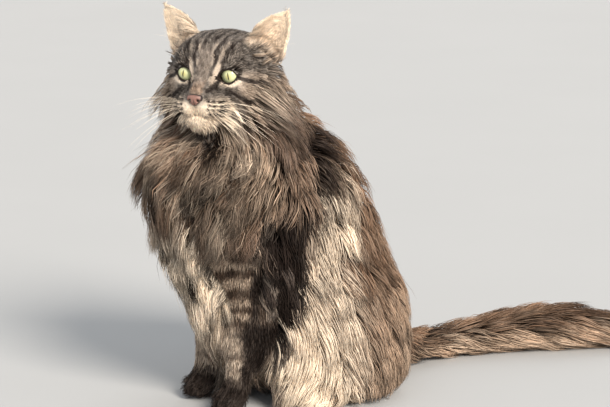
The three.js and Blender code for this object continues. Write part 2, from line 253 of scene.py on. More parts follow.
def mark_legs(lay, p, q):
    """Barred forelegs on dark paws, with dark backs and elbows: part dark fur, part painted shade
    behind the foreleg.
    """
    _, y, z = p.T
    across, along, _ = q.T
    leg = step(across, 34, 40) * step(z, 200, 188) * step(y, -72, -82)
    lower = step(z, 116, 104) * step(y, -58, -68)
    leg = np.maximum(leg, lower * np.maximum(step(across, 10, 20), step(z, 80, 62)))
    level = z + 3 * wave(p, 18, 7)
    bars = sum(step(np.abs(level - at), wide, 0.4 * wide) for at, wide in LEG_BARS)
    bars = np.clip(bars, 0, 1) * (0.85 + 0.2 * wave(p, 12, 15))
    lay(leg, 0.22 + 0.7 * bars, 0.48 - 0.45 * bars, 0.7)
    fine = step(np.sin(level / 2.1), -0.2, 0.7) * (0.6 + 0.4 * wave(p, 7, 16))
    lay(leg * step(z, 104, 94), 0.14 + 0.56 * fine, 0.52 - 0.36 * fine, 0.5)
    # The leg's rear half and the elbow behind it: part dark fur, part painted shade between foreleg
    # and haunch
    lay(leg * step(along, -90, -78) * step(across, 34, 50), 0.94, 0.0, 0.3)
    lay(band(q, (84, -58, 192), (80, -55, 146), 34, 0.62), 1.0, 0.0, 0.3)
    lay(band(q, (80, -54, 150), (68, -66, 60), 20, 0.55), 1.0, 0.0, 0.3)
    # Dark paws. The tops of the toes are a little paler, as painted highlights, and the grooves
    # between them stay dark, as painted shade
    paw = step(level + 0.5 * np.abs(y + 95) * (y > -95), 56, 34) * step(y, -40, -58)
    toes = step(z, 34, 14) * (1 - between_toes(p))
    lay(paw, 0.99 - 0.07 * toes, 0.0, 0.3)


def mark_tail(lay, p):
    """A brown tail, dark on top, with slanting bands."""
    _, y, z = p.T
    sweep = np.sin((y + 1.5 * z) / 14) * step(y, 150, 190)
    top = step(z, 16, 42)
    lay(step(y, 128, 150), 0.12 + 0.5 * top + 0.22 * sweep, 0.36 - 0.3 * top, 0.9)


def brow_stripes(h, stripes, width, soft):
    """1 on stripes that rise from the brow and lean out, a little bent."""
    bent = np.abs(h[:, 0]) + 1.3 * wave(h, 8, 12)
    rise = np.maximum(h[:, 2] - BROW_FOOT, 0)
    return sum(step(np.abs(bent - (at + lean * rise)), width, soft) for at, lean in stripes)


def mark_face(lay_all, h):
    """A ticked grey-brown face with dark lines, pale lower lids, and a cream muzzle and chin."""
    m = folded(h)
    across, y, z = m.T
    flat = m[:, [0, 2]]
    on_face = step(np.linalg.norm((h - (0, -10, 0)) / (80, 84, 76), axis=1), 1.1, 0.94)
    front = step(y, -10, -24)

    def lay(amount, dark, pale, warm):
        lay_all(on_face * amount, dark, pale, warm)

    ticks = wave(h, 2.6, 11)
    lay(1, 0.67 + 0.26 * ticks, 0.22, 0.12)
    lay(step(across, 28, 46) * step(z, 14, -2), 0.24 + 0.22 * ticks, 0.44, 0.6)
    brow = step(z, 8, 15) * step(y, 6, -8)
    broken = 0.78 + 0.6 * wave(h * (1, 1, 0.6), 5, 13)
    gaps = np.clip(brow_stripes(h, BROW_GAPS, 2.4, 0.8) * broken, 0, 1)
    lay(brow * gaps * step(z, 42, 30), 0.22, 0.4, 0.35)
    lines = np.clip(brow_stripes(h, BROW_LINES, 2.5, 1.2), 0, 1) * np.clip(broken, 0, 1)
    lay(brow * lines * step(z, 62, 36), 1.0, 0.0, 0.2)
    eye = np.linalg.norm((flat - (24.2, 2.6)) / (1.4, 1.0), axis=1)
    lay(front * step(eye, 13.5, 10) * step(z, 4, -1), 0.06, 0.74, 0.3)
    lay(band(m, (15, -50, 13), (11, -58, -6), 4.0), 0.1, 0.5, 0.4)
    bridge = step(across, 8.0, 5.5) * step(y, -42, -50) * step(z, -18, -14)
    lay(0.8 * bridge, 0.42 + 0.2 * ticks, 0.24, 0.3 + 0.6 * step(z, 2, -12))
    lay(np.clip(1.9 * blob(m, (15, -58, -38), (33, 33, 24)), 0, 1), 0.0, 0.96, 0.4)
    lay(band(m, (14, -60, -46), (39, -42, -42), 14, 0.4), 0.0, 0.92, 0.5)
    lay(step(y, -48, -54) * whisker_spots(flat), 0.95, 0.0, 0.2)
    # A dark line along the lips: partly their dark edges, partly painted shade in the mouth's crease
    lip_line_and_shade = band(flat, (0, -35.5), (9, -38.5), 1.5) + band(flat, (9, -38.5), (20, -37), 1.7)
    lay(0.4 * step(y, -48, -56) * np.clip(lip_line_and_shade, 0, 1), 0.6, 0.2, 0.4)
    for start, end, width in FACE_LINES:
        lay(0.9 * front * band(flat, start, end, width, 0.4), 0.95, 0.0, 0.2)
    lay(front * lid_rims(h), 1.0, 0.0, 0.0)


def whisker_spots(flat):
    """1 on the dark spots, in four rows, that the whiskers grow from."""
    spots = np.zeros(len(flat))
    for row in range(WHISKER_ROWS):
        for place in range(4):
            at = (14.5 + 4.1 * place + row % 2, -22 - 4.4 * row - 0.4 * place)
            spots += step(np.linalg.norm(flat - at, axis=1), 2.0, 1.1)
    return np.clip(spots, 0, 1)


def lid_rims(h):
    """1 on the dark skin along the edges of the lids."""
    rims = np.zeros(len(h))
    for u, v, w in eye_places(h):
        rims = np.maximum(rims, step(lid_gap(u, v), -2.6, -1.7) * (w > 0))
    return rims


def mark_ears(lay, h, normals):
    """Ears with dark backs, cream inside, down to the hollows below them."""
    m = folded(h)
    ears = is_ear(h)
    facing = normals @ HEAD_AXES
    lay(ears, 0.5 + 0.15 * wave(h, 2.6, 11), 0.12, 0.6)
    inwards = 0.5 * np.sign(h[:, 0]) * facing[:, 0] - 0.87 * facing[:, 1]
    bed = ear_bed(h) * (1 - ears) * step(facing[:, 1], 0.5, 0.2)
    inside = np.maximum(ears * step(inwards, -0.2, 0.1), bed)
    combed = step(wave(h * (1, 1, 0.5), 3, 25), 0.2, 0.8) * step(h[:, 2], 62, 48)
    lay(inside, 0.03 + 0.14 * combed + 0.1 * bed, 0.95 - 0.22 * combed - 0.4 * bed, 0.5)
    lay(inside * blob(m, (45, -2, 42), (15, 16, 18)), 0.06, 0.66, 0.75)
    # Darker and pinkish in the pocket at each ear's outer foot: painted shade
    lay(inside * blob(m, (59, -8, 20), (11, 18, 12)), 0.35, 0.4, 0.8)


def between_toes(p):
    """1 in the grooves between a forepaw's toes, in the cat's frame."""
    grooves = np.zeros(len(p))
    for heel, toe in PAWS:
        a, b = np.array(heel, float), np.array(toe, float)
        long = np.linalg.norm(b - a)
        ahead = (b - a) / long
        along = (p[:, :2] - a) @ ahead
        across = (p[:, :2] - a) @ np.array((-ahead[1], ahead[0]))
        spread = 0.75 + 0.25 * along / long
        for groove in TOE_GROOVES:
            line = step(np.abs(across - groove * spread), 3.0, 0.8) * step(along, 26, 40)
            grooves = np.maximum(grooves, line * (np.abs(across) < 26))
    return grooves * step(p[:, 2], 40, 30)


# Skin

OUTER_CELL, SHRUNK_CELL, SKIN_CELL, FINE_CELL = 3.2, 3.4, 2.6, 1.8  # of the surfaces made anew
EAR_CELL = 1.0
FINE_ROUND_EYES = (17, 14.5)  # how far from each eye the mesh is halved, once and again
FINE_ROUND_MOUTH = 22


def new_object(name, mesh):
    """An object in the scene for a mesh."""
    obj = bpy.data.objects.new(name, mesh)
    bpy.context.scene.collection.objects.link(obj)
    return obj


def merged_copy(name, nodes):
    """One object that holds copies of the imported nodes, their loose triangles merged."""
    bm = bmesh.new()
    for node in nodes:
        bm.from_mesh(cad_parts[node].data)
    bmesh.ops.remove_doubles(bm, verts=bm.verts, dist=0.02 * MM)
    mesh = bpy.data.meshes.new(name)
    bm.to_mesh(mesh)
    bm.free()
    mesh.materials.clear()
    return new_object(name, mesh)


def with_modifier(obj, kind, **values):
    """Adds a modifier to an object and applies it."""
    modifier = obj.modifiers.new(kind.title(), kind)
    for key, value in values.items():
        setattr(modifier, key, value)
    graph = bpy.context.evaluated_depsgraph_get()
    mesh = bpy.data.meshes.new_from_object(obj.evaluated_get(graph))
    obj.modifiers.clear()
    old = obj.data
    obj.data = mesh
    bpy.data.meshes.remove(old)
    return obj


def remesh(obj, cell):
    """The object's outer surface made anew from even cells."""
    return with_modifier(obj, "REMESH", mode="VOXEL", voxel_size=cell * MM, adaptivity=0.0)


def points_of(mesh):
    """Where a mesh's vertices are."""
    co = np.empty(len(mesh.vertices) * 3, np.float32)
    mesh.vertices.foreach_get("co", co)
    return co.reshape(-1, 3).astype(float)


def normals_of(mesh):
    """Which way a mesh faces at its vertices."""
    no = np.empty(len(mesh.vertices) * 3, np.float32)
    mesh.vertex_normals.foreach_get("vector", no)
    return no.reshape(-1, 3).astype(float)


def put_points(mesh, points):
    """Moves a mesh's vertices to places."""
    mesh.vertices.foreach_set("co", points.astype(np.float32).ravel())
    mesh.update()


def edges_of(mesh):
    """The two vertices of each edge."""
    ends = np.empty(len(mesh.edges) * 2, np.int64)
    mesh.edges.foreach_get("vertices", ends)
    return ends.reshape(-1, 2)


def blur(values, edges, rounds, share=0.5):
    """Evens out a value, or a row of values, over the vertices that edges join."""
    values = np.asarray(values, float)
    flat = values.reshape(len(values), -1)
    count = np.bincount(edges.ravel(), minlength=len(flat))[:, None]
    for _ in range(rounds):
        total = np.zeros_like(flat)
        for column in range(flat.shape[1]):
            total[:, column] = np.bincount(
                edges[:, 0], flat[edges[:, 1], column], len(flat)
            ) + np.bincount(edges[:, 1], flat[edges[:, 0], column], len(flat))
        flat = flat + share * (total / np.maximum(count, 1) - flat)
    return flat.reshape(values.shape)


def tree_of(mesh):
    """A mesh's faces, ready for the nearest place on them to be found."""
    points = [tuple(p) for p in points_of(mesh)]
    return BVHTree.FromPolygons(points, [tuple(f.vertices) for f in mesh.polygons])


def nearest(tree, points):
    """Nearest places on a surface: positions, normals, faces and distances."""
    place, normal, face, away = [], [], [], []
    for point in points:
        found = tree.find_nearest(point)
        place.append(found[0])
        normal.append(found[1])
        face.append(found[2])
        away.append(found[3])
    return np.array(place), np.array(normal), np.array(face), np.array(away)


# Each node's coat: how deep it stands, and how long its hair is
COAT = {
    "nose": (0.3, 2),
    "head": (6, 16),
    "ear_left": (0.5, 7),
    "ear_right": (0.5, 7),
    "ruff": (34, 74),
    "neck": (22, 52),
    "trunk": (20, 58),
    "thigh_left": (20, 60),
    "thigh_right": (20, 60),
    "foreleg_left": (7, 22),
    "foreleg_right": (7, 22),
    "forepaw_left": (2.5, 9),
    "forepaw_right": (2.5, 9),
    "hindpaw_left": (4, 12),
    "hindpaw_right": (4, 12),
    "tail_base": (10, 50),
    "tail_middle": (12, 60),
    "tail_tip": (14, 60),
}


def tail_line():
    """The middle of the tail along its length: places in the cat's frame, by their y."""
    points = np.concatenate(
        [to_cat(points_of(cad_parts[n].data)) for n in FLESH if n.startswith("tail")]
    )
    ends = np.linspace(points[:, 1].min(), points[:, 1].max() - 4, 9)
    rows = [
        points[(points[:, 1] >= a) & (points[:, 1] <= b)].mean(0) for a, b in zip(ends, ends[1:])
    ]
    return np.array(rows)


def lie_of_coat(points, nodes):
    """The way the hair points at places in the scene, before it is laid on the surface."""
    p, h = to_cat(points), to_head(points)
    side, y, z = np.sign(p[:, 0]), p[:, 1], p[:, 2]
    every = np.ones(len(p))
    way = np.tile((0.0, 0.28, -1.0), (len(p), 1))
    way[:, 0] = 0.12 * side
    front = step(y, -50, -95)[:, None]
    way = way * (1 - front) + np.array((0.0, -0.12, -1.0)) * front
    ruff = (step(z, 192, 214) * step(y, -30, -56))[:, None]
    way = way * (1 - ruff) + np.stack([-0.1 * side, -0.85 * every, -every], 1) * ruff
    line = tail_line()
    slope = np.gradient(line, axis=0)
    along = np.stack([np.interp(y, line[:, 1], slope[:, k]) for k in range(3)], 1)
    middle = np.stack([np.interp(y, line[:, 1], line[:, k]) for k in range(3)], 1)
    on_tail = (step(y, 128, 165) * step(z, 130, 95))[:, None]
    spread = unit(p - middle) * 0.3 + np.array((0, 0, -0.35))
    way = way * (1 - on_tail) + (unit(along) + spread * 0.8) * on_tail
    hem = step(y, 10, -30) * step(z, 96, 40) * step(np.abs(p[:, 0]), 44, 60)
    way[:, 1] -= 1.6 * hem
    way[np.char.find(nodes, "paw") >= 0] = (0.0, -1.0, -0.55)
    on_head = np.isin(nodes, ("head", "nose"))
    way[on_head] = lie_on_head(h)[on_head]
    for name, sign in SIDES.items():
        way[nodes == f"ear_{name}"] = np.array((0.62 * sign, 0.02, 0.78)) @ HEAD_AXES.T
    return unit(way)


def lie_on_head(h):
    """There the hair leaves the nose, climbs the forehead and falls back over the cheeks."""
    x, y, z = h.T
    away = unit(h - np.array((0.0, -82.0, -18.0)))
    away[:, 1] += 0.35
    away[:, 2] -= 0.55 * step(np.abs(x), 22, 48) + 0.8 * step(y, 10, 40)
    away[:, 2] -= 1.1 * step(z, -38, -52)
    every = np.ones(len(h))
    jowl = jowl_share(h)[:, None]
    out_and_down = np.stack([0.9 * np.sign(x), 0.2 * every, -0.55 * every], 1)
    return unit(unit(away) * (1 - jowl) + out_and_down * jowl) @ HEAD_AXES.T


# The face, as masses in the head's frame

# On both sides of the head, the cheek, the temple, under the eye and the brow: each one's middle,
# its radii, and how softly it joins what is there before it
SIDE_MASSES = (
    ((37, -2, -13), (31, 38, 36), 22),
    ((36, 2, 20), (24, 24, 24), 26),
    ((26, -30, -9), (17, 16, 18), 14),
    ((13, -27, 18), (22, 22, 21), 20),
)
EAR_HOLLOW = ((51, -18, 31), (11, 8, 15))  # its middle and its radii
WHISKER_PAD = ((11.0, -60, -28.5), (12.8, 15, 12.4))


def ellipsoid(points, centre, radii):
    """Distance from points to an ellipsoid, negative inside."""
    q = (points - centre) / radii
    level = np.maximum(np.linalg.norm(q, axis=1), 1e-6)
    return level * (level - 1) / np.linalg.norm(q / radii, axis=1)


def limb(points, start, end, start_radius, end_radius):
    """Distance from points to a limb that runs from one radius to another."""
    t, away = to_line(points, start, end)
    return away - start_radius - (end_radius - start_radius) * t


def melt(a, b, soft):
    """Joins two distances with a rounded inner corner of about the given size."""
    share = np.clip(soft - np.abs(a - b), 0, None) / soft
    return np.minimum(a, b) - share * share * soft / 4


def face_field(h):
    """Distance to the head's outer shape. Its side masses meet without a crease in the middle."""
    q = folded(h)
    blunt = np.stack([np.sqrt(h[:, 0] ** 2 + 40), h[:, 1], h[:, 2]], 1)
    upper = ellipsoid(h, (0, 4, 5), (47, 54, 45))
    for centre, radii, soft in SIDE_MASSES:
        upper = melt(upper, ellipsoid(blunt, centre, radii), soft)
    upper = -melt(-upper, ellipsoid(q, *EAR_HOLLOW), 6)
    upper = melt(upper, limb(h, (0, -34, 8), (0, -65, -14), 15, 9.5), 13)  # the nose's bridge
    upper = melt(upper, ellipsoid(h, (0, -50, -24), (25, 22, 16)), 12)  # the muzzle
    upper = melt(upper, ellipsoid(q, *WHISKER_PAD), 8)
    lower = ellipsoid(h, (0, -56, -43.5), (14.5, 15, 10.5))  # the chin, then the lower jaw
    lower = melt(lower, limb(h, (0, -38, -36), (0, 0, -34), 22, 30), 12)
    return melt(upper, lower, 4.5 + 10 * step(q[:, 0], 15, 32))


def throat_field(h, depth):
    """The face drawn in by the coat's depth, with the neck under it."""
    foot = (np.array((0, -58, 258.0)) - HEAD_AT) @ HEAD_AXES
    return melt(face_field(h) + depth, limb(h, (0, 14, -14), foot, 41, 54), 26)


def slope_of(field, h):
    """The way a field rises fastest at places."""
    near = 0.4
    rows = [field(h + shift) - field(h - shift) for shift in np.eye(3) * near]
    return np.stack(rows, 1) / (2 * near)


def eye_frame(side):
    """Where an eye's own axes point: across towards the outer corner, up, and out of the head."""
    out = np.array((math.sin(EYE_TURN) * side, -math.cos(EYE_TURN), 0.0))
    level = np.array((math.cos(EYE_TURN) * side, math.sin(EYE_TURN), 0.0))
    across = level * math.cos(EYE_TILT) + np.array((0, 0, math.sin(EYE_TILT)))
    up = np.array((0, 0, math.cos(EYE_TILT))) - level * math.sin(EYE_TILT)
    return across, up, out


def eye_places(h):
    """For each eye, the places in its own axes: across, up and out from the eyeball's middle."""
    for side in SIDES.values():
        e = h - EYE_AT * (side, 1, 1)
        yield tuple(e @ axis for axis in eye_frame(side))


def lid_gap(u, v):
    """How far a place is inside the gap between the lids; less than 0 under a lid."""
    u, v = u - GAP_AT[0], v - GAP_AT[1]
    reach = np.clip(1 - (np.abs(u) / GAP_HALF) ** 2.0, 0, 1)
    upper = 7.0 * reach**0.66
    lower = -6.2 * reach**0.74
    inside = np.minimum(upper - v, v - lower)
    side = (1 - np.abs(u) / GAP_HALF) * GAP_HALF * 0.8
    return np.where(reach > 0, np.minimum(inside, side + 0.3), np.minimum(side, -np.abs(v)))


def draw_lids(h):
    """Moves places of the face out over the eyeballs as lids, or in behind them at the gap."""
    h = h.copy()
    front, back = EYE_RADIUS + LID, EYE_RADIUS - 1.6
    for side, (u, v, w) in zip(SIDES.values(), eye_places(h)):
        near = (w > 0) & (np.linalg.norm(h - EYE_AT * (side, 1, 1), axis=1) < 24)
        flat = np.hypot(u, v)
        over = np.where(flat < front, np.sqrt(np.clip(front**2 - flat**2, 0, None)), -9)
        under = np.sqrt(np.clip(back**2 - np.minimum(flat, 9.7) ** 2, 0.5, None))
        crease = 0.8 * np.exp(-(((flat - 13.4) / 1.6) ** 2)) * step(v, 1, 7)
        lidded = np.maximum(w, over) - crease
        share = step(lid_gap(u, v), -0.35, 0.75)
        target = lidded + (np.minimum(under, w) - lidded) * share
        h[near] += (target - w)[near, None] * eye_frame(side)[2]
    return h


def shape_head(mesh):
    """Lays the head's and throat's vertices on the face's masses, as deep as the coat there."""
    h = to_head(points_of(mesh))
    share = step(h[:, 2] + 0.3 * h[:, 1], -118, -62) * step(h[:, 1] - 0.35 * h[:, 2], 78, 34)
    chosen = share > 0.001
    q = h[chosen]
    depth = head_depth(q)
    for _ in range(4):
        slope = slope_of(lambda places: throat_field(places, depth), q)
        steep = np.maximum((slope**2).sum(1), 0.3)
        q = q - slope * (np.clip(throat_field(q, depth), -12, 12) / steep)[:, None]
    q = draw_lids(q)
    h[chosen] += (q - h[chosen]) * share[chosen, None]
    put_points(mesh, from_head(h))


def even_out(mesh, rounds, share=None):
    """Smooths a mesh's shape, all over or as far as the share at each vertex says."""
    points = points_of(mesh)
    even = blur(points, edges_of(mesh), rounds)
    put_points(mesh, even if share is None else points + (even - points) * share[:, None])


def ear_shell(node):
    """A smooth copy of one ear, its root let down into the head."""
    ear = remesh(merged_copy(node + "_skin", [node]), EAR_CELL)
    points = points_of(ear.data)
    h = to_head(points)
    side = np.sign(h[:, 0].mean())
    h[:, 2] -= 0.3 * np.clip(h[:, 2] - 62, 0, None)
    root = step(h[:, 2] + 0.12 * np.abs(h[:, 0]), 54, 42)
    h -= root[:, None] * np.array((0.25 * side, -0.05, 1.0)) * 13
    put_points(ear.data, from_head(h))
    even_out(ear.data, 14)
    return with_modifier(ear, "DECIMATE", ratio=0.5)


def eye_distance(h):
    """How far places in the head's frame are from the front of the nearer eye."""
    return np.linalg.norm(folded(h) - EYE_AT - (0, -9, 0), axis=1)


def finer(mesh, radius, also_mouth):
    """Halves the mesh round the eyes, and round the mouth if asked, and evens the cuts out."""
    bm = bmesh.new()
    bm.from_mesh(mesh)
    ends = np.array([[tuple(v.co) for v in e.verts] for e in bm.edges])
    middle = to_head(ends.mean(1))
    near = eye_distance(middle) < radius
    if also_mouth:
        near |= np.linalg.norm(middle - MOUTH_AT, axis=1) < FINE_ROUND_MOUTH
    edges = [e for e, chosen in zip(bm.edges, near) if chosen]
    bmesh.ops.subdivide_edges(bm, edges=edges, cuts=1, use_grid_fill=True)
    bmesh.ops.triangulate(bm, faces=[f for f in bm.faces if len(f.verts) > 3])
    bm.to_mesh(mesh)
    bm.free()
    h = to_head(points_of(mesh))
    share = step(eye_distance(h), radius + 5, radius + 1)
    if also_mouth:
        away = np.linalg.norm(h - MOUTH_AT, axis=1) - FINE_ROUND_MOUTH
        share = np.maximum(share, step(away, 5, 1))
    even_out(mesh, 5, share)


def measure_coat(outer):
    """The coat's depth, its hair's length and the nearest node at each of the outer vertices."""
    points = points_of(outer.data)
    reach = 6 * MM
    nearness = np.full((len(FLESH), len(points)), 1.0)
    for row, node in enumerate(FLESH):
        shell = merged_copy("shell", [node])
        find = tree_of(shell.data).find_nearest
        bpy.data.objects.remove(shell)
        low, high = np.array(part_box(node))
        inside = np.all((points > low - reach) & (points < high + reach), axis=1)
        for k in np.nonzero(inside)[0]:
            nearness[row, k] = find(points[k])[3]
    owner = np.array(FLESH)[nearness.argmin(0)]
    p = to_cat(points)
    across, y, z = np.abs(p[:, 0]), p[:, 1], p[:, 2]
    for side, sign in SIDES.items():
        behind = (owner == f"foreleg_{side}") & (y > -60) & (p[:, 0] * sign > 0)
        owner[behind] = f"thigh_{side}"
    depth, length = np.array([COAT[n] for n in owner], float).T
    chest = np.isin(owner, ("trunk", "foreleg_left", "foreleg_right")) * step(across, 44, 34)
    chest = chest * step(y, -70, -95) * step(z, 70, 100)
    leg = step(across, 34, 44) * step(y, -66, -84) * step(z, 212, 190) * step(z, 40, 60)
    depth = toward(toward(depth, 24, chest), 8, leg)
    length = toward(toward(length, 62, chest), 20, leg)
    edges = edges_of(outer.data)
    paws = np.char.find(owner, "paw") >= 0
    depth, length = blur(depth, edges, 45), blur(length, edges, 16)
    depth = np.where(paws, np.minimum(depth, 5), depth)
    length = np.where(paws, np.minimum(length, 15), length)
    return owner, blur(depth, edges, 4), blur(length, edges, 4)


def jowl_share(h):
    """1 on the long-haired sides of the face under the ears."""
    sides = step(np.abs(h[:, 0]), 34, 50) * step(h[:, 2], 10, -18)
    return sides * step(h[:, 1], -44, -24) * step(h[:, 1], 32, 6)


def crown_share(h):
    """1 on the top of the head."""
    return step(h[:, 2], 0, 26) * step(h[:, 1], 45, 25)


def head_depth(h):
    """The coat's depth on the head: next to nothing on the face, deep on the cheeks and nape."""
    far = step(np.linalg.norm(h - SNOUT_AT, axis=1), 34, 112)
    low = step(h[:, 2], -34, -58) * step(h[:, 1], -62, -40)
    return 1.2 + 11 * far**1.5 * (1 - 0.55 * crown_share(h)) + 9 * low + 5 * jowl_share(h)


def head_length(h):
    """How long the head's hair is: short on the face, long on the cheeks and under the chin."""
    far = step(np.linalg.norm(h - SNOUT_AT, axis=1), 30, 108)
    low = step(h[:, 2], -44, -62) * step(h[:, 1], -62, -42)
    eyes = 0.32 + 0.68 * step(eye_distance(h), 11, 22)
    jowl = 44 * jowl_share(h) * step(eye_distance(h), 13, 26)
    return (3.6 + 34 * far**1.5 * (1 - 0.84 * crown_share(h))) * eyes + 30 * low + jowl


def is_bare(h):
    """Where no hair grows on the face: between the lids, on their edges and on the nose."""
    bare = (np.abs(h[:, 0]) < 8.5) & (np.abs(h[:, 2] + 21.5) < 5) & (h[:, 1] < -70)
    for u, v, w in eye_places(h):
        bare |= (lid_gap(u, v) > -0.9) & (w > 0)
    return bare


def shrink(outer, depth, rounds=6):
    """The outer shape drawn in by the depth at each place, a little at a time."""
    tree = tree_of(outer.data)
    first = np.array([f.vertices[0] for f in outer.data.polygons])
    flesh = new_object("skin", outer.data.copy())
    for turn in range(rounds):
        if turn:
            flesh = remesh(flesh, SHRUNK_CELL)
        points = points_of(flesh.data)
        _, _, face, away = nearest(tree, points)
        wanted = depth[first[face]] * MM
        move = np.clip(wanted - away, 0, wanted / rounds * 1.25)
        inward = points - normals_of(flesh.data) * move[:, None]
        put_points(flesh.data, blur(inward, edges_of(flesh.data), 2))
    return flesh


def make_skin():
    """The skin: the outer shape drawn in by the coat's depth, with lids, lips and ears."""
    outer = remesh(merged_copy("outer", [n for n in FLESH if n not in EARS]), OUTER_CELL)
    even_out(outer.data, 6)
    owner, depth, length = measure_coat(outer)
    flesh = remesh(shrink(outer, depth), SKIN_CELL)
    even_out(flesh.data, 3)
    shape_head(flesh.data)
    flesh = remesh(flesh, FINE_CELL)
    even_out(flesh.data, 2)
    thin_body(flesh)
    for node in EARS:
        ear = ear_shell(node)
        with_modifier(flesh, "BOOLEAN", operation="UNION", solver="MANIFOLD", object=ear)
        bpy.data.objects.remove(ear)
    finer(flesh.data, FINE_ROUND_EYES[0], True)
    finer(flesh.data, FINE_ROUND_EYES[1], False)
    before = points_of(flesh.data)
    shape_head(flesh.data)
    ears = is_ear(to_head(before))
    put_points(flesh.data, toward(points_of(flesh.data), before, ears[:, None]))
    h = to_head(points_of(flesh.data))
    even_out(flesh.data, 6, is_ear(h + (0, 0, 5)) * (1 - is_ear(h - (0, 0, 4))))
    points, normals = points_of(flesh.data), normals_of(flesh.data)
    grooves = between_toes(to_cat(points)) * GROOVE_DEPTH * MM
    put_points(flesh.data, points - normals * grooves[:, None])
    mark_skin(flesh.data, outer.data, owner, length)
    bpy.data.objects.remove(outer)
    return flesh


def thin_body(flesh):
    """Takes most of the triangles off the body, and leaves the face fine."""
    group = flesh.vertex_groups.new(name="fine")
    away = np.linalg.norm(to_head(points_of(flesh.data)) - (0, -40, 5), axis=1)
    fine = step(away, 90, 60)
    for level in (0.0, 0.34, 0.67, 1.0):
        chosen = np.nonzero(np.abs(fine - level) <= 0.17)[0]
        group.add(chosen.tolist(), 1 - level, "REPLACE")
    with_modifier(flesh, "DECIMATE", ratio=0.36, vertex_group="fine", vertex_group_factor=4.0)


def flare_of(p, h):
    """How far the hair stands out from the body: most on the cheeks, some on ruff and chest."""
    y, z = p[:, 1], p[:, 2]
    parts = {
        "ruff": 0.03 * (step(z, 205, 235) * step(y, 10, -30)),
        "throat": 0.85 * (step(z, 270, 300) * step(h[:, 2], -38, -52) * step(h[:, 1], 30, 0)),
        "chest": 0.16 * (step(z, 100, 130) * step(y, -78, -96)),
        "neck": 0.16 * (step(z, 262, 290) * step(z, 352, 335)),
        "back": 0.2 * (step(y, 10, 40) * step(z, 90, 130)),
        "tail": 0.2 * step(y, 128, 160),
        "hem": 0.5 * (step(z, 110, 70) * step(y, -70, -55) * step(y, 0, -30)),
    }
    on_face = step(h[:, 2], -62, -44)
    body = np.maximum.reduce(list(parts.values()))
    return np.maximum(body * (1 - on_face), jowl_share(h) * on_face)


def ear_bed(h):
    """1 on the hollow in the side of the head that runs up into an ear."""
    x = np.abs(h[:, 0])
    above = step(h[:, 2] + 0.81 * (x - 26), 39, 45) * step(h[:, 2], 13, 19)
    return above * step(h[:, 1] - 0.8 * (x - 30), 12, 2) * step(x, 26, 32)


def is_ear(h):
    """1 on an ear, 0 on the head."""
    x = np.abs(h[:, 0])
    above = step(h[:, 2] - 0.2 * (x - 22), 44, 50) * step(x, 18, 24)
    return np.maximum(above, step(x, 56, 60) * step(h[:, 2], 14, 22))


# What the skin knows at each vertex: markings, lie, room for the coat, hair length

# The pieces of the coat, each with a slot name that nothing here reads
SLOTS = {
    "face": "face",
    "head": "face",
    "ears": "ear",
    "ruff_left": "ruff",
    "ruff_right": "ruff",
    "chest": "ruff",
    "back": "back",
    "flank_left": "back",
    "flank_right": "back",
    "haunch_left": "thigh",
    "haunch_right": "thigh",
    "legs": "leg",
    "paws": "paw",
    "tail": "tail",
}
REGIONS = tuple(SLOTS)
FACE_HAIR_END = 13.5  # longer hair on the head belongs to its long coat
# The kinds of value kept at the vertices: the field that holds one, and how many numbers it has
KINDS = {
    "FLOAT": ("value", 1),
    "INT": ("value", 1),
    "FLOAT_VECTOR": ("vector", 3),
    "FLOAT_COLOR": ("color", 4),
}


def region_of(p, owner, length, ears, beds):
    """Which piece of the coat grows at each place."""
    across, y, z = np.abs(p[:, 0]), p[:, 1], p[:, 2]
    left = np.where(p[:, 0] > 0, "left", "right")
    region = np.where(length < FACE_HAIR_END, "face", "head").astype("<U14")
    region[~np.isin(owner, ("head", "nose"))] = "back"
    region[owner == "nose"] = "face"

    def on_both_sides(chosen, name):
        region[chosen] = np.char.add(name + "_", left[chosen])

    on_both_sides(owner == "ruff", "ruff")
    on_both_sides(np.char.startswith(owner, "thigh"), "haunch")
    trunk = owner == "trunk"
    front = trunk & (y < -52)
    on_both_sides(trunk & ~front & ~((across < 34) & (y > -20)), "flank")
    region[front] = "chest"
    leg = (across > 34) & (y < -68) & (z < 192) & (z > 30) & (length < 27)
    region[np.char.startswith(owner, "foreleg") | leg] = "legs"
    region[np.char.find(owner, "paw") >= 0] = "paws"
    region[np.char.startswith(owner, "tail")] = "tail"
    region[ears], region[beds] = "ears", "face"
    return np.array([REGIONS.index(r) for r in region])


def put_values(mesh, name, kind, values):
    """Keeps a value at each vertex under a name."""
    layer = mesh.attributes.new(name, kind, "POINT")
    dtype = np.int32 if kind == "INT" else np.float32
    layer.data.foreach_set(KINDS[kind][0], np.asarray(values, dtype).ravel())


def values_of(mesh, name):
    """Reads back the values kept at the vertices."""
    layer = mesh.attributes[name]
    field, width = KINDS[layer.data_type]
    whole = layer.data_type == "INT"
    values = np.empty(len(mesh.vertices) * width, np.int32 if whole else np.float32)
    layer.data.foreach_get(field, values)
    values = values if whole else values.astype(float)
    return values if width == 1 else values.reshape(-1, width)


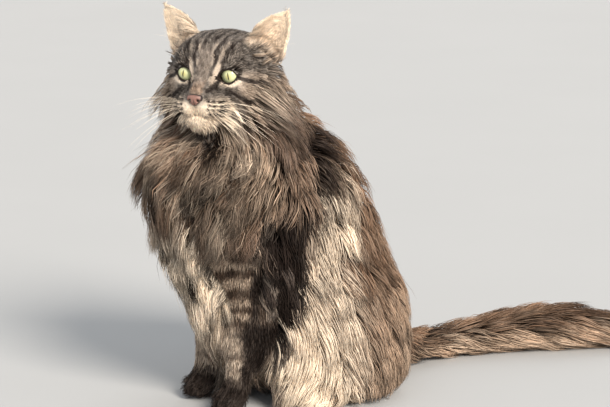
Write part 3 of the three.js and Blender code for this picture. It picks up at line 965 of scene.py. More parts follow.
def mark_skin(mesh, outer, owner, length):
    """Works out what the coat needs to know at each vertex of the skin."""
    points, normals, edges = points_of(mesh), normals_of(mesh), edges_of(mesh)
    p, h = to_cat(points), to_head(points)
    first = np.array([f.vertices[0] for f in outer.polygons])
    _, _, face, away = nearest(tree_of(outer), points)
    owner, hair, room = owner[first[face]], length[first[face]], away / MM
    ears = is_ear(h) > 0.5
    beds = (ear_bed(h) > 0.5) & ~ears
    on_head = np.isin(owner, ("head", "nose"))
    hair = np.where(on_head, np.minimum(head_length(h), hair + 3 + 40 * jowl_share(h)), hair)
    owner = np.where(ears | beds, np.where(h[:, 0] > 0, *EARS), owner)
    hair = np.where(ears, 6.0, np.where(beds, 9.0, hair))
    room = np.where(ears | beds, 0.6, room)
    paws = np.char.find(owner, "paw") >= 0
    leg = step(np.abs(p[:, 0]), 36, 44) * step(p[:, 1], -66, -80) * step(p[:, 2], 200, 185)
    hair = np.where(paws, np.minimum(hair, 7), np.maximum(hair, 1.75 * room * (1 - leg)))
    room, hair = blur(room, edges, 4), blur(hair, edges, 4)
    lie = lie_of_coat(points, owner)
    for _ in range(3):
        lie = blur(lie, edges, 6)
        lie = unit(lie - normals * (lie * normals).sum(1)[:, None])
    depth = np.full((len(points), 1), 0.6)  # the skin's shade is a hair's, this far from its root
    put_values(mesh, "coat", "FLOAT_COLOR", np.hstack([markings(points, normals), depth]))
    put_values(mesh, "shade", "FLOAT", np.full(len(points), 0.5))
    put_values(mesh, "lie", "FLOAT_VECTOR", lie)
    put_values(mesh, "room", "FLOAT", room)
    put_values(mesh, "hair", "FLOAT", hair)
    put_values(mesh, "flare", "FLOAT", blur(flare_of(p, h), edges, 4))
    put_values(mesh, "region", "INT", region_of(p, owner, hair, ears, beds))


def unwrap(obj):
    """Lays the skin out flat in patches of its own shape."""
    for other in bpy.context.selected_objects:
        other.select_set(False)
    bpy.context.view_layer.objects.active = obj
    obj.select_set(True)
    bpy.ops.object.mode_set(mode="EDIT")
    bpy.ops.mesh.select_all(action="SELECT")
    bpy.ops.uv.smart_project(angle_limit=math.radians(72), island_margin=0.002)
    bpy.ops.object.mode_set(mode="OBJECT")


# The coat

HAIRS_EACH = 8  # hairs in a strand of the long coat
LONG_STEPS = 7  # in a strand's path
LONG_RINGS, SHORT_RINGS = 5, 3  # in one hair, its tip among them
SPREAD = 7.5  # how far a strand's outer hairs stand from its middle, if they are 50 mm long
PATCH = 0.003  # how long a hair's own patch is in the bake's map
GROUND = {}  # the skin as arrays, read once


def ground():
    """The skin as arrays, read once and kept while the coat is laid on it."""
    mesh = bpy.data.objects["skin"].data
    if GROUND.get("skin") is mesh:
        return GROUND
    loops = np.empty(len(mesh.loops), np.int64)
    mesh.loops.foreach_get("vertex_index", loops)
    uv = np.empty(len(mesh.loops) * 2, np.float32)
    mesh.uv_layers[0].data.foreach_get("uv", uv)
    GROUND.update(
        skin=mesh,
        corners=loops.reshape(-1, 3),
        uv=uv.reshape(-1, 3, 2),
        points=points_of(mesh),
        normals=normals_of(mesh),
        tree=tree_of(mesh),
    )
    for name in ("lie", "room", "hair", "flare", "region"):
        GROUND[name] = values_of(mesh, name)
    return GROUND


def roots_in(region, count, rng):
    """Places spread evenly by area over a region of the skin, with what grows there."""
    g = ground()
    corners = g["corners"]
    chosen = np.nonzero(g["region"][corners[:, 0]] == REGIONS.index(region))[0]
    a, b, c = (g["points"][corners[chosen, k]] for k in range(3))
    area = np.linalg.norm(np.cross(b - a, c - a), axis=1)
    area = area * (1 + 2.5 * g["flare"][corners[chosen, 0]])  # more hair where the coat flares
    edge = np.cumsum(area) / area.sum()
    spots = (np.arange(count) + rng.random(count)) / count
    face = chosen[np.minimum(np.searchsorted(edge, spots), len(chosen) - 1)]
    u, v = rng.random(count), rng.random(count)
    over = u + v > 1
    u[over], v[over] = 1 - u[over], 1 - v[over]
    share = np.stack([1 - u - v, u, v], 1)

    def blend(values):
        at = values[corners[face]]
        return (at * share.reshape(share.shape + (1,) * (at.ndim - 2))).sum(1)

    return {
        "place": blend(g["points"]),
        "normal": unit(blend(g["normals"])),
        "lie": unit(blend(g["lie"])),
        "room": blend(g["room"]),
        "hair": blend(g["hair"]),
        "flare": blend(g["flare"]) * (0.3 + 1.4 * rng.random(count)),
        "uv": (g["uv"][face] * share[:, :, None]).sum(1),
    }


def trace(roots, layer, steps, cling, drop):
    """Paths that leave the skin, rise into the coat and follow its lie. Places and outward ways."""
    g = ground()
    first = g["corners"][:, 0]
    place = roots["place"].copy()
    normal = roots["normal"]
    reach = roots["hair"] * MM / steps
    flare = roots["flare"]
    rise = np.clip(1.5 * roots["room"] * layer / np.maximum(roots["hair"], 1), 0.12, 1.1) + flare
    way = unit(roots["lie"] + normal * rise[:, None])
    path, out = [place - normal * 0.5 * MM], [normal]
    for k in range(1, steps + 1):
        share = k / steps
        ahead = place + way * reach[:, None]
        near, near_normal, face, _ = nearest(g["tree"], ahead)
        height = ((ahead - near) * near_normal).sum(1)
        local = first[face]
        # It stands as high as its layer when 62% of it is laid, and sinks no faster than it clings
        wanted = g["room"][local] * MM * layer * (1 - (1 - min(share / 0.62, 1)) ** 2)
        lift = np.clip(wanted - height, -reach * cling * np.clip(1 - flare, 0, 1), reach * 0.9)
        ahead = ahead + near_normal * lift[:, None]
        # Then it turns a little towards the coat's lie, and down
        lie = g["lie"][local]
        tangent = unit(lie - near_normal * (lie * near_normal).sum(1)[:, None])
        back = (0.38 * np.clip(1 - 0.6 * flare, 0.2, 1))[:, None]
        way = unit(unit(ahead - place) * (1 - back) + tangent * back + np.array((0, 0, -drop)))
        place = ahead
        path.append(place)
        out.append(near_normal)
    return np.stack(path, 1), unit(np.stack(out, 1))


def gather(path, size, strength, rng):
    """Draws neighbouring paths together towards their tips, as locks of about one size.

    Also says which path each follows, and how far out in its lock it lies, from 0 to 1.
    """
    count = max(3, len(path) // size)
    heads = rng.choice(len(path), count, replace=False)
    away = np.linalg.norm(path[:, None, 2] - path[None, heads, 2], axis=2)
    head = heads[away.argmin(1)]
    away = away.min(1)
    share = np.linspace(0, 1, path.shape[1])[None, :, None] ** 1.2 * strength
    hold = step(away, 26 * MM, 20 * MM)[:, None, None]  # 0 on those too far off
    edge = np.clip(away / np.quantile(away, 0.9), 0, 1)
    return path + (path[head] - path) * share * hold, head, edge


def places_on(path, share):
    """Places on paths at a share of their length given for each path and ring."""
    at = np.clip(share, 0, 1) * (path.shape[1] - 1)
    low = np.minimum(at.astype(int), path.shape[1] - 2)
    part = (at - low)[..., None]
    rows = np.arange(len(path))[:, None]
    return path[rows, low] * (1 - part) + path[rows, low + 1] * part


def hair_faces(rings):
    """One three-sided hair's faces: all their corners in a row, and where each face starts."""
    faces = []
    for k in range(rings - 1):
        for j in range(3):
            here, after = 3 * k + j, 3 * k + (j + 1) % 3
            faces.append((after, here, here + 3, after + 3))
    last, tip = 3 * (rings - 1), 3 * rings
    faces.append((0, 1, 2))
    faces += [(last + (j + 1) % 3, last + j, tip) for j in range(3)]
    starts = np.cumsum([0] + [len(face) for face in faces[:-1]])
    return np.concatenate(faces), starts


def strands(name, rings, outs, width, uv, shares, shade):
    """One mesh of many tapered three-sided hairs. Rings are each hair's middle, root to tip."""
    count, levels = rings.shape[:2]
    body = levels - 1
    rings = rings.copy()
    mixed = (np.arange(count) * 0.618 % 1)[:, None]
    rings[..., 2] = np.maximum(rings[..., 2], HAIR_FLOOR * MM * (1 + mixed))
    tangent = unit(np.gradient(rings, axis=1))
    side = unit(np.cross(tangent, outs))
    up = np.cross(side, tangent)
    s = np.linspace(0, 1, levels)
    taper = (0.55 + 0.45 * np.minimum(s / 0.25, 1)) * (1 - 0.75 * np.clip((s - 0.45) / 0.55, 0, 1))
    half = (width[:, None] * taper[None, :body] / 2)[..., None] * MM
    r, u, t = side[:, :body], up[:, :body], rings[:, :body]
    verts = np.stack([t + r * half, t + u * half * 0.7, t - r * half], 2).reshape(count, -1, 3)
    verts = np.concatenate([verts, rings[:, -1:]], 1)
    each = verts.shape[1]
    corners, starts = hair_faces(body)
    shift = np.arange(count)[:, None]
    loop_verts = (corners[None] + shift * each).ravel()
    mesh = bpy.data.meshes.new(name)
    mesh.vertices.add(count * each)
    mesh.vertices.foreach_set("co", verts.astype(np.float32).ravel())
    mesh.loops.add(len(loop_verts))
    mesh.loops.foreach_set("vertex_index", loop_verts.astype(np.int32))
    mesh.polygons.add(count * len(starts))
    begin = (starts[None] + shift * len(corners)).ravel()
    mesh.polygons.foreach_set("loop_start", begin.astype(np.int32))
    mesh.update(calc_edges=True)
    mesh.shade_smooth()
    reach = s[np.append(np.repeat(np.arange(body), 3), body)]
    coat = [np.repeat(shares[:, None], each, 1), np.tile(reach[None, :, None], (count, 1, 1))]
    put_values(mesh, "coat", "FLOAT_COLOR", np.concatenate(coat, 2))
    put_values(mesh, "shade", "FLOAT", np.repeat(shade, each))
    across = np.append(np.tile((0.8, 0.5, 0.2), body), 0.5)
    spread = uv[:, None] + (np.stack([across, reach], 1) - 0.5)[None] * PATCH
    layer = mesh.uv_layers.new(name="OFBake")
    layer.data.foreach_set("uv", spread.reshape(-1, 2)[loop_verts].astype(np.float32).ravel())
    return new_object(name, mesh)


def colour_of(place, normal, rng, spread):
    """The shares of pigment of hairs rooted at places, with the markings' edges broken up."""
    shares = markings(place + rng.normal(0, spread * MM, place.shape), normal)
    return np.clip(shares + rng.normal(0, 0.06, shares.shape), 0, 1)


def long_coat(
    region,
    count,
    width,
    rng,
    cling=0.35,
    drop=0.1,
    lock=7,
    pull=0.4,
    wave_size=1.5,
    tone=0.08,
    patch=0.06,
    grain=0.12,
    puff=0.7,
):
    """The long hair of one region: locks, of strands, of hairs that end in points.

    cling and drop say how closely the hair keeps to the coat's surface and how far it hangs, lock
    how many strands a lock has, pull how far they draw together towards its tip, and wave_size how
    far they wave. tone says how far locks differ in shade, and how much darker the hairs towards a
    lock's edge are, as painted shade between locks; patch how far locks differ in pigment, grain
    how far single hairs differ in shade, and puff how far hairs stand out from a strand.
    """
    guides = max(4, count // HAIRS_EACH)
    roots = roots_in(region, guides, rng)
    layer = 0.45 + 0.67 * rng.random(guides) ** 0.75
    roots["hair"] = roots["hair"] * (0.78 + 0.38 * rng.random(guides))
    path, out = trace(roots, layer, LONG_STEPS, cling, drop)
    path, head, edge = gather(path, lock, pull, rng)
    core = path[head, 4]
    # Each strand becomes its hairs, which keep inside it and reach unevenly far
    pick = np.repeat(np.arange(guides), HAIRS_EACH)
    path, out, hair = path[pick], out[pick], roots["hair"][pick]
    n = len(pick)
    side = unit(np.cross(unit(np.gradient(path, axis=1)), out))
    reach = 0.74 + 0.32 * rng.random(n)
    share = np.linspace(0, 1, LONG_RINGS)[None] * np.minimum(reach, 1)[:, None]
    rings = places_on(path, share)
    outs, sides = unit(places_on(out, share)), unit(places_on(side, share))
    angle, far = rng.random(n) * 2 * math.pi, np.sqrt(rng.random(n))
    radius = SPREAD * MM * np.clip(hair / 50, 0.3, 1.1)
    narrow = 1 - 0.6 * share**1.3
    a = ((np.cos(angle) * far * radius)[:, None] * narrow)[..., None]
    b = ((np.sin(angle) * far * radius)[:, None] * narrow)[..., None]
    share = share[..., None]
    rings = rings + sides * a + unit(np.cross(outs, sides)) * b * (1 - share)
    rings += outs * b * share * puff
    # Waves, which a strand's hairs share, and stray ends
    phase = np.repeat(rng.random(guides) * 2 * math.pi, HAIRS_EACH) + rng.normal(0, 0.5, n)
    rings += sides * np.sin(share * 7.0 + phase[:, None, None]) * share * wave_size * MM
    loose = np.where(rng.random(n) < 0.115 * puff, 0.085, 0.026) * np.minimum(hair, 55) * MM
    rings += rng.normal(0, 1, (n, 1, 3)) * loose[:, None, None] * share**1.5
    # Locks, strands and hairs differ in shade, and a hair's markings are those somewhere between
    # its own place and its lock's middle
    shade = 0.52 + tone * np.clip(rng.normal(0, 1, guides), -1.8, 0.8)[head]
    # Hairs towards a lock's edge are darker: painted shade between the locks
    shade = shade + rng.normal(0, 0.07, guides) - 1.6 * tone * edge
    shade = np.clip(shade[pick] + rng.normal(0, grain, n), 0, 1)
    widths = width * (0.75 + 0.5 * rng.random(n))
    own = 0.35 + 0.65 * rng.random(n)[:, None] ** 3
    shares = colour_of(rings[:, 2] * own + core[pick] * (1 - own), out[:, 0], rng, 2.0)
    shares[:, :2] += (rng.normal(0, patch, (guides, 2)) * (1, -1))[head[pick]]
    shares = np.clip(shares, 0, 1)
    return strands("coat_" + region, rings, outs, widths, roots["uv"][pick], shares, shade)


def short_coat(region, count, width, rng, keep=None, rise=0.6, length=1.0, tone=0.17):
    """Short hair that lies close: one small curved hair at each root."""
    roots = roots_in(region, count, rng)
    if keep is not None:
        chosen = keep(to_head(roots["place"]))
        roots = {key: value[chosen] for key, value in roots.items()}
    place, normal = roots["place"], roots["normal"]
    n = len(place)
    hair = roots["hair"] * length * (0.7 + 0.5 * rng.random(n))
    room = np.minimum(np.maximum(roots["room"], 0.5), hair * rise) * (0.5 + 0.7 * rng.random(n))
    lie = unit(roots["lie"] + rng.normal(0, 0.13, (n, 3)))
    lie = unit(lie - normal * (lie * normal).sum(1)[:, None])
    share = np.linspace(0, 1, SHORT_RINGS)[None, :, None]
    ahead = lie[:, None] * (hair[:, None, None] * share)
    above = normal[:, None] * (room[:, None, None] * (1.9 * share - 0.9 * share**2) - 0.3)
    rings = place[:, None] + (ahead + above) * MM
    outs = np.repeat(normal[:, None], SHORT_RINGS, 1)
    shade = np.clip(rng.normal(0.55, tone, n), 0, 1)
    widths = width * (0.75 + 0.5 * rng.random(n))
    shares = colour_of(place, normal, rng, 0.35)
    return strands("coat_" + region, rings, outs, widths, roots["uv"], shares, shade)


def free_hairs(name, rings, width, colour, shade, rng):
    """Single long hairs given by their own rings, such as whiskers and the ears' wisps."""
    g = ground()
    count = len(rings)
    near = np.array([g["tree"].find_nearest(p)[2] for p in rings[:, 0]])
    uv = g["uv"][near].mean(1)
    tangent = unit(np.gradient(rings, axis=1))
    outs = unit(np.cross(tangent, unit(np.cross(tangent, (0.02, 0.05, 1.0)))) * -1)
    shares = np.clip(colour + rng.normal(0, 0.03, (count, 3)), 0, 1)
    widths = width * (0.8 + 0.4 * rng.random(count))
    return strands(name, rings, outs, widths, uv, shares, np.full(count, shade))


def arcs(start, way, length, fall, levels, rng):
    """Hairs that set out one way and bend under their weight, in the head's frame."""
    s = np.linspace(0, 1, levels)[None, :, None]
    long = length[:, None, None]
    rings = start[:, None] + way[:, None] * (long * s) + np.array(fall) * s**2 * long
    return rings + rng.normal(0, 0.25, (len(start), 1, 3)) * s


def make_whiskers(rng, per_side):
    """White whiskers in rows on both pads, and a few over each eye."""
    # Which row each whisker is in, and how far back in it, from 0 to 1
    row = np.arange(per_side) % WHISKER_ROWS
    turn = np.arange(per_side) // WHISKER_ROWS / max(per_side // WHISKER_ROWS - 1, 1)
    over = np.arange(3)  # the few over an eye
    level = np.ones(len(over))
    groups = []
    for sign in SIDES.values():
        x = (15 + 8.5 * turn) * sign
        start = np.stack([x, -73.5 + 15.5 * turn + 0.9 * row, -24.5 - 3.1 * row], 1)
        ahead = -0.5 + 0.55 * turn
        way = np.stack([sign * (0.86 + 0.1 * turn), ahead, 0.16 - 0.17 * row], 1)
        way = unit(way + rng.normal(0, 0.05, way.shape))
        length = 52 + 32 * rng.random(per_side) - 14 * (row == WHISKER_ROWS - 1)
        groups.append(arcs(settle_on_face(start), way, length, (0, 0.16, -0.3), 9, rng))
        start = np.stack([sign * (21 + 2.2 * over), -44.0 * level, 15 * level], 1)
        way = unit(np.stack([sign * (0.1 + 0.14 * over), -0.55 * level, 0.9 * level], 1))
        length = 18 + 9 * rng.random(len(over))
        fall = (0.05 * sign, 0.28, -0.12)
        groups.append(arcs(settle_on_face(start), way, length, fall, 9, rng))
    rings = kept_near(from_head(np.concatenate(groups)))
    shares = np.tile((0.0, 1.0, 0.0), (len(rings), 1))
    shares[to_head(rings[:, 0])[:, 2] > 0] = (0.4, 0.4, 0.3)
    return free_hairs("whiskers", rings, 0.36, shares, 0.97, rng)


def kept_near(rings):
    """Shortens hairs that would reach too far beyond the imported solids' box."""
    low, high = (np.array(corner) for corner in CAD_BOUNDS)
    root = rings[:, :1]
    reach = rings - root
    limit = np.where(reach > 0, high + WHISKER_ROOM - root, low - WHISKER_ROOM - root)
    share = limit / np.where(np.abs(reach) < 1e-6, np.copysign(1e-6, limit), reach)
    share = np.clip(share.min(axis=(1, 2)), 0, 1)
    return root + reach * share[:, None, None]


def settle_on_face(h):
    """Moves places in the head's frame onto the face's skin, a little inside it."""
    for _ in range(6):
        level = face_field(h) + head_depth(h) + 0.8
        h = h - unit(slope_of(face_field, h)) * level[:, None]
    return h


def make_ear_hair(rng, wisps, tips):
    """Pale wisps that cross the ears from their inner edges, and the tufts on their tips."""
    root, tip = np.array((27.0, -7, 42)), np.array((56.0, -6, 66))  # an ear's inner edge
    groups, shares = [], []
    for sign in SIDES.values():
        mirror = np.array((sign, 1, 1))
        t = rng.random(wisps) ** 1.5
        start = toward(root, tip, t[:, None])
        low = rng.random(wisps) < 0.4  # these start in the hollow at the ear's foot
        start[low] = np.array((38.0, 1, 33)) + rng.normal(0, 1, (low.sum(), 3)) * (8, 2, 3)
        start += rng.normal(0, 1.0, (wisps, 3))
        way = unit(np.array((0.85, -0.22, 0.42)) + rng.normal(0, 0.16, (wisps, 3)))
        length = (12 + 20 * rng.random(wisps)) * (1 - 0.45 * t)
        groups.append(arcs(start * mirror, way * mirror, length, (0.1 * sign, 0, -0.12), 6, rng))
        start = np.array((69.5, -2.5, 69)) + rng.normal(0, 1, (tips, 3)) * (1.6, 1.0, 2.0)
        way = unit(np.array((0.35, 0.0, 0.95)) + rng.normal(0, 0.1, (tips, 3)))
        length = 2 + 3.5 * rng.random(tips)
        groups.append(arcs(start * mirror, way * mirror, length, (0.1 * sign, 0, -0.1), 6, rng))
        shares += [(0.0, 0.95, 0.4)] * wisps + [(0.4, 0.4, 0.4)] * tips
    rings = from_head(np.concatenate(groups))
    return free_hairs("ear_tufts", rings, 0.42, np.array(shares), 0.55, rng)


# Eyes and nose


def make_eye(name, side, settings):
    """An eyeball with a domed cornea, turned to look where the head looks."""
    bm = bmesh.new()
    bmesh.ops.create_uvsphere(bm, u_segments=64, v_segments=40, radius=1.0)
    mesh = bpy.data.meshes.new(name)
    bm.to_mesh(mesh)
    bm.free()
    local = points_of(mesh)
    # The mesh's own axes: x across to the outer corner, y up, z out of the eye
    x, y, z = local.T[:, :, None]
    dome = 1 + 0.075 * step(np.hypot(x, y), 0.78, 0.2) * (z > 0)
    across, up, out = eye_frame(side)
    size = settings.radius / MM * dome
    h = EYE_AT * (side, 1, 1) + (x * across + y * up + z * out) * size
    put_points(mesh, from_head(h))
    if side > 0:
        mesh.flip_normals()
    place = local * settings.radius / MM - (GAP_AT[0] * 0.3, GAP_AT[1] * 0.8, 0)
    put_values(mesh, "eye_place", "FLOAT_VECTOR", place)
    mesh.shade_smooth()
    return new_object(name, mesh)


def dent(a, b):
    """1 at the middle of a dent, less away from it."""
    return np.exp(-(a**2) - (b**2))


def nose_form(u, v):
    """The nose leather's front, in the head's frame. u runs across, v down."""
    side = np.abs(u)
    low = np.clip((v - 0.45) / 0.55, 0, 1)
    wide = 9.2 * (0.9 + 0.1 * np.sin(v * 5)) * (1 - 0.84 * low**1.3)
    z = -15.0 - 12.6 * v - 1.6 * side**2 * (1 - v)
    crown = 3.0 * (1 - side**2.2) * np.sin(np.clip(v * 1.15 + 0.1, 0, 1) * math.pi) ** 0.5
    y = -74.2 - crown - 1.2 * np.sin(v * math.pi)
    nostril = dent((side - 0.56) / 0.19, (v - 0.52 - 0.16 * (side - 0.56)) / 0.11)
    slit = dent((side - 0.86) / 0.16, (v - 0.58) / 0.06)
    groove = dent(wide * u / 0.7, 0) * step(v, 0.35, 0.6)
    deep = np.clip(nostril + 0.8 * slit, 0, 1)
    y = y + 4.2 * deep + 0.9 * groove
    return np.stack([wide * u, y, z], -1), np.clip(deep + 0.5 * groove, 0, 1)


def make_nose():
    """The bare nose leather: a rounded pad with two nostrils and the furrow below."""
    bm = bmesh.new()
    bmesh.ops.create_grid(bm, x_segments=60, y_segments=44, size=1.0)
    mesh = bpy.data.meshes.new("nose_leather")
    bm.to_mesh(mesh)
    bm.free()
    flat = points_of(mesh)
    u, v = flat[:, 0], (1 - flat[:, 1]) / 2
    h, deep = nose_form(u, v)
    edge = np.maximum(np.abs(u), np.abs(2 * v - 1))
    h[:, 1] += 4.5 * step(edge, 0.9, 1.0)
    put_points(mesh, from_head(h))
    put_values(mesh, "deep", "FLOAT", deep)
    put_values(mesh, "edge", "FLOAT", step(edge, 0.62, 0.93))
    obj = new_object("nose_leather", mesh)
    with_modifier(obj, "SOLIDIFY", thickness=2.5 * MM, offset=-1.0)
    facing = normals_of(obj.data) @ (HEAD_AXES @ np.array((0, -1.0, 0)))
    if facing.mean() < -0.02:
        obj.data.flip_normals()
    obj.data.shade_smooth()
    return obj


# Materials

DARK, GREY = (0.018, 0.011, 0.008), (0.262, 0.253, 0.247)
CREAM, WARM = (0.95, 0.795, 0.62), (0.46, 0.258, 0.148)
SOFT_HAIR = ("soft hair", 0.6, 0.12)  # its name, its roughness and its shine
STIFF_HAIR = ("stiff white hair", 0.35, 0.6)


def plain_material(name, inputs):
    """A material with one shader, given that shader's plain inputs by name."""
    material = bpy.data.materials.new(name)
    material.use_nodes = True
    tree = material.node_tree
    tree.nodes.clear()
    out = tree.nodes.new("ShaderNodeOutputMaterial")
    shader = tree.nodes.new("ShaderNodeBsdfPrincipled")
    tree.links.new(shader.outputs[0], out.inputs[0])
    for key, value in inputs.items():
        shader.inputs[key].default_value = value
    return material, tree, shader


def attribute(tree, name):
    """What a mesh keeps at its vertices under a name."""
    node = tree.nodes.new("ShaderNodeAttribute")
    node.attribute_name = name
    return node


def maths(tree, kind, *values):
    """One step of arithmetic on plain numbers and other nodes' values."""
    node = tree.nodes.new("ShaderNodeMath")
    node.operation = kind
    for socket, value in zip(node.inputs, values):
        if isinstance(value, (int, float)):
            socket.default_value = value
        else:
            tree.links.new(value, socket)
    return node.outputs[0]


def square_sum(tree, a, b):
    """The squares of two values added up."""
    return maths(tree, "ADD", maths(tree, "MULTIPLY", a, a), maths(tree, "MULTIPLY", b, b))


def ramp(tree, value, low, high, start=0.0, end=1.0):
    """A value carried smoothly from one pair of limits to another."""
    node = tree.nodes.new("ShaderNodeMapRange")
    node.interpolation_type = "SMOOTHSTEP"
    for socket, number in zip(node.inputs[1:5], (low, high, start, end)):
        socket.default_value = number
    tree.links.new(value, node.inputs[0])
    return node.outputs[0]


def mix(tree, share, a, b, kind="MIX"):
    """Two colours mixed, each a plain one or another node's; the share is of the second."""
    node = tree.nodes.new("ShaderNodeMix")
    node.data_type = "RGBA"
    node.blend_type = kind
    if isinstance(share, (int, float)):
        node.inputs[0].default_value = share
    else:
        tree.links.new(share, node.inputs[0])
    for socket, value in ((node.inputs[6], a), (node.inputs[7], b)):
        if isinstance(value, tuple):
            socket.default_value = (*value, 1.0)
        else:
            tree.links.new(value, socket)
    return node.outputs[2]


def noise(tree, place, scale, detail=3.0):
    """Soft random blotches over places."""
    node = tree.nodes.new("ShaderNodeTexNoise")
    node.inputs["Scale"].default_value = scale
    node.inputs["Detail"].default_value = detail
    tree.links.new(place, node.inputs["Vector"])
    return node.outputs[0]


def bump(tree, shader, height, strength, distance):
    """Makes a shader's surface look as high as a value says."""
    node = tree.nodes.new("ShaderNodeBump")
    node.inputs["Strength"].default_value = strength
    node.inputs["Distance"].default_value = distance
    tree.links.new(height, node.inputs["Height"])
    tree.links.new(node.outputs[0], shader.inputs["Normal"])


def own_place(tree):
    """Places in the object's own frame."""
    return tree.nodes.new("ShaderNodeTexCoord").outputs["Object"]


def darker(colour, share):
    """A plain colour at a share of its brightness."""
    return tuple(c * share for c in colour)


def coat_colour(tree):
    """Hair pigment from the shares kept at each vertex, each hair its own, darker at the root:
    painted shade deep in the coat, partly also the hairs' darker bases.
    """
    coat = attribute(tree, "coat")
    shares = tree.nodes.new("ShaderNodeSeparateColor")
    tree.links.new(coat.outputs["Color"], shares.inputs[0])
    dark, pale, warm = shares.outputs[:3]
    colour = mix(tree, warm, GREY, WARM)
    colour = mix(tree, pale, colour, CREAM)
    colour = mix(tree, dark, colour, DARK)
    shade = ramp(tree, attribute(tree, "shade").outputs["Fac"], 0.0, 1.0, 0.45, 1.5)
    # Darker towards the root, pale hair less so: painted shade deep in the coat, partly also the
    # darker bases of banded hairs
    root = ramp(tree, pale, 0.1, 0.8, 0.28, 0.95)
    tip = ramp(tree, coat.outputs["Alpha"], 0.0, 0.75)
    depth = maths(tree, "MULTIPLY_ADD", maths(tree, "SUBTRACT", 1.12, root), tip, root)
    value = maths(tree, "MULTIPLY", shade, depth)
    grey = tree.nodes.new("ShaderNodeCombineColor")
    for socket in grey.inputs:
        tree.links.new(value, socket)
    return mix(tree, 1.0, colour, grey.outputs[0], "MULTIPLY")


def hair_material(name, roughness, shine):
    """Hair coloured by the shares kept at its vertices; made once and then shared."""
    known = bpy.data.materials.get(name)
    if known:
        return known
    inputs = {"Roughness": roughness, "Specular IOR Level": shine}
    material, tree, shader = plain_material(name, inputs)
    tree.links.new(coat_colour(tree), shader.inputs["Base Color"])
    return material


def skin_material():
    """The skin under the coat, marked as the coat is, with a fine lie of down as bump."""
    inputs = {"Roughness": 0.75, "Specular IOR Level": 0.25}
    material, tree, shader = plain_material("downy skin", inputs)
    down = noise(tree, own_place(tree), 900, 4)
    ticking = ramp(tree, down, 0.35, 0.65, 0.0, 0.25)
    colour = mix(tree, ticking, coat_colour(tree), (0.05, 0.04, 0.033))
    tree.links.new(colour, shader.inputs["Base Color"])
    bump(tree, shader, down, 0.4, 0.0006)
    return material


def eye_material(settings):
    """Iris, slit pupil, dark rim and wet gloss, from the places kept in the eye's own axes."""
    wet = {"Roughness": 0.06, "IOR": 1.4, "Coat Weight": 1.0, "Coat Roughness": 0.02}
    material, tree, shader = plain_material("wet eye", wet)
    place = attribute(tree, "eye_place").outputs["Vector"]
    parts = tree.nodes.new("ShaderNodeSeparateXYZ")
    tree.links.new(place, parts.inputs[0])
    x, y = parts.outputs[:2]
    radius = maths(tree, "SQRT", square_sum(tree, x, y))
    angle = maths(tree, "ARCTAN2", y, x)
    rays = tree.nodes.new("ShaderNodeCombineXYZ")
    tree.links.new(maths(tree, "MULTIPLY", angle, 6.0), rays.inputs[0])
    tree.links.new(maths(tree, "MULTIPLY", radius, 0.35), rays.inputs[1])
    fibres = ramp(tree, noise(tree, rays.outputs[0], 4.0, 5), 0.3, 0.7)
    iris = mix(tree, fibres, darker(settings.iris, 0.62), tuple(settings.iris))
    iris = mix(tree, ramp(tree, radius, 1.0, 4.5), (0.62, 0.56, 0.22), iris)
    # The iris darker towards its top: painted shade under the upper lid
    iris = mix(tree, ramp(tree, y, 2.0, 7.0, 0.0, 0.6), iris, (0.10, 0.09, 0.04))
    iris = mix(tree, ramp(tree, radius, 9.0, 9.9), iris, (0.012, 0.009, 0.007))
    across = maths(tree, "DIVIDE", x, settings.pupil / MM / 2)
    tall = maths(tree, "DIVIDE", y, 3.9)
    outside = ramp(tree, square_sum(tree, across, tall), 0.85, 1.25)
    colour = mix(tree, outside, (0.003, 0.003, 0.003), iris)
    tree.links.new(colour, shader.inputs["Base Color"])
    return material


def nose_material(settings):
    """Brick-pink leather, pebbled and damp, dark round its edge, with painted shade in the nostrils
    and the furrow below.
    """
    material, tree, shader = plain_material("nose leather", {"Roughness": 0.42})
    place = own_place(tree)
    pebbles = tree.nodes.new("ShaderNodeTexVoronoi")
    pebbles.inputs["Scale"].default_value = 1500
    tree.links.new(place, pebbles.inputs["Vector"])
    blotches = ramp(tree, noise(tree, place, 260), 0.35, 0.7)
    colour = mix(tree, blotches, tuple(settings.colour), darker(settings.colour, 0.66))
    edge = attribute(tree, "edge").outputs["Fac"]
    colour = mix(tree, ramp(tree, edge, 0.35, 1.0), colour, (0.022, 0.014, 0.012))
    # Near black in the nostrils and the furrow below them: painted shade in the hollows
    deep = attribute(tree, "deep").outputs["Fac"]
    colour = mix(tree, ramp(tree, deep, 0.2, 0.7), colour, (0.006, 0.004, 0.004))
    tree.links.new(colour, shader.inputs["Base Color"])
    bump(tree, shader, pebbles.outputs["Distance"], 0.5, 0.0003)
    return material


def floor_material(settings):
    """A matt floor of one pale colour, faintly uneven."""
    material, tree, shader = plain_material("pale studio floor", {"Roughness": 0.85})
    blotches = ramp(tree, noise(tree, own_place(tree), 3.0), 0.3, 0.7)
    colour = mix(tree, blotches, tuple(settings.floor), darker(settings.floor, 0.985))
    tree.links.new(colour, shader.inputs["Base Color"])
    return material


# The add-on


def length_setting(name, description, default, low, high):
    """A length in metres that the sidebar can change."""
    return bpy.props.FloatProperty(
        name=name, description=description, default=default, min=low, max=high, unit="LENGTH"
    )


def colour_setting(name, description, default):
    """A colour that the sidebar can change."""
    return bpy.props.FloatVectorProperty(
        name=name, description=description, default=default, size=3, min=0, max=1, subtype="COLOR"
    )


def count_setting(name, description, default, low, high):
    """A whole number that the sidebar can change."""
    return bpy.props.IntProperty(
        name=name, description=description, default=default, min=low, max=high
    )


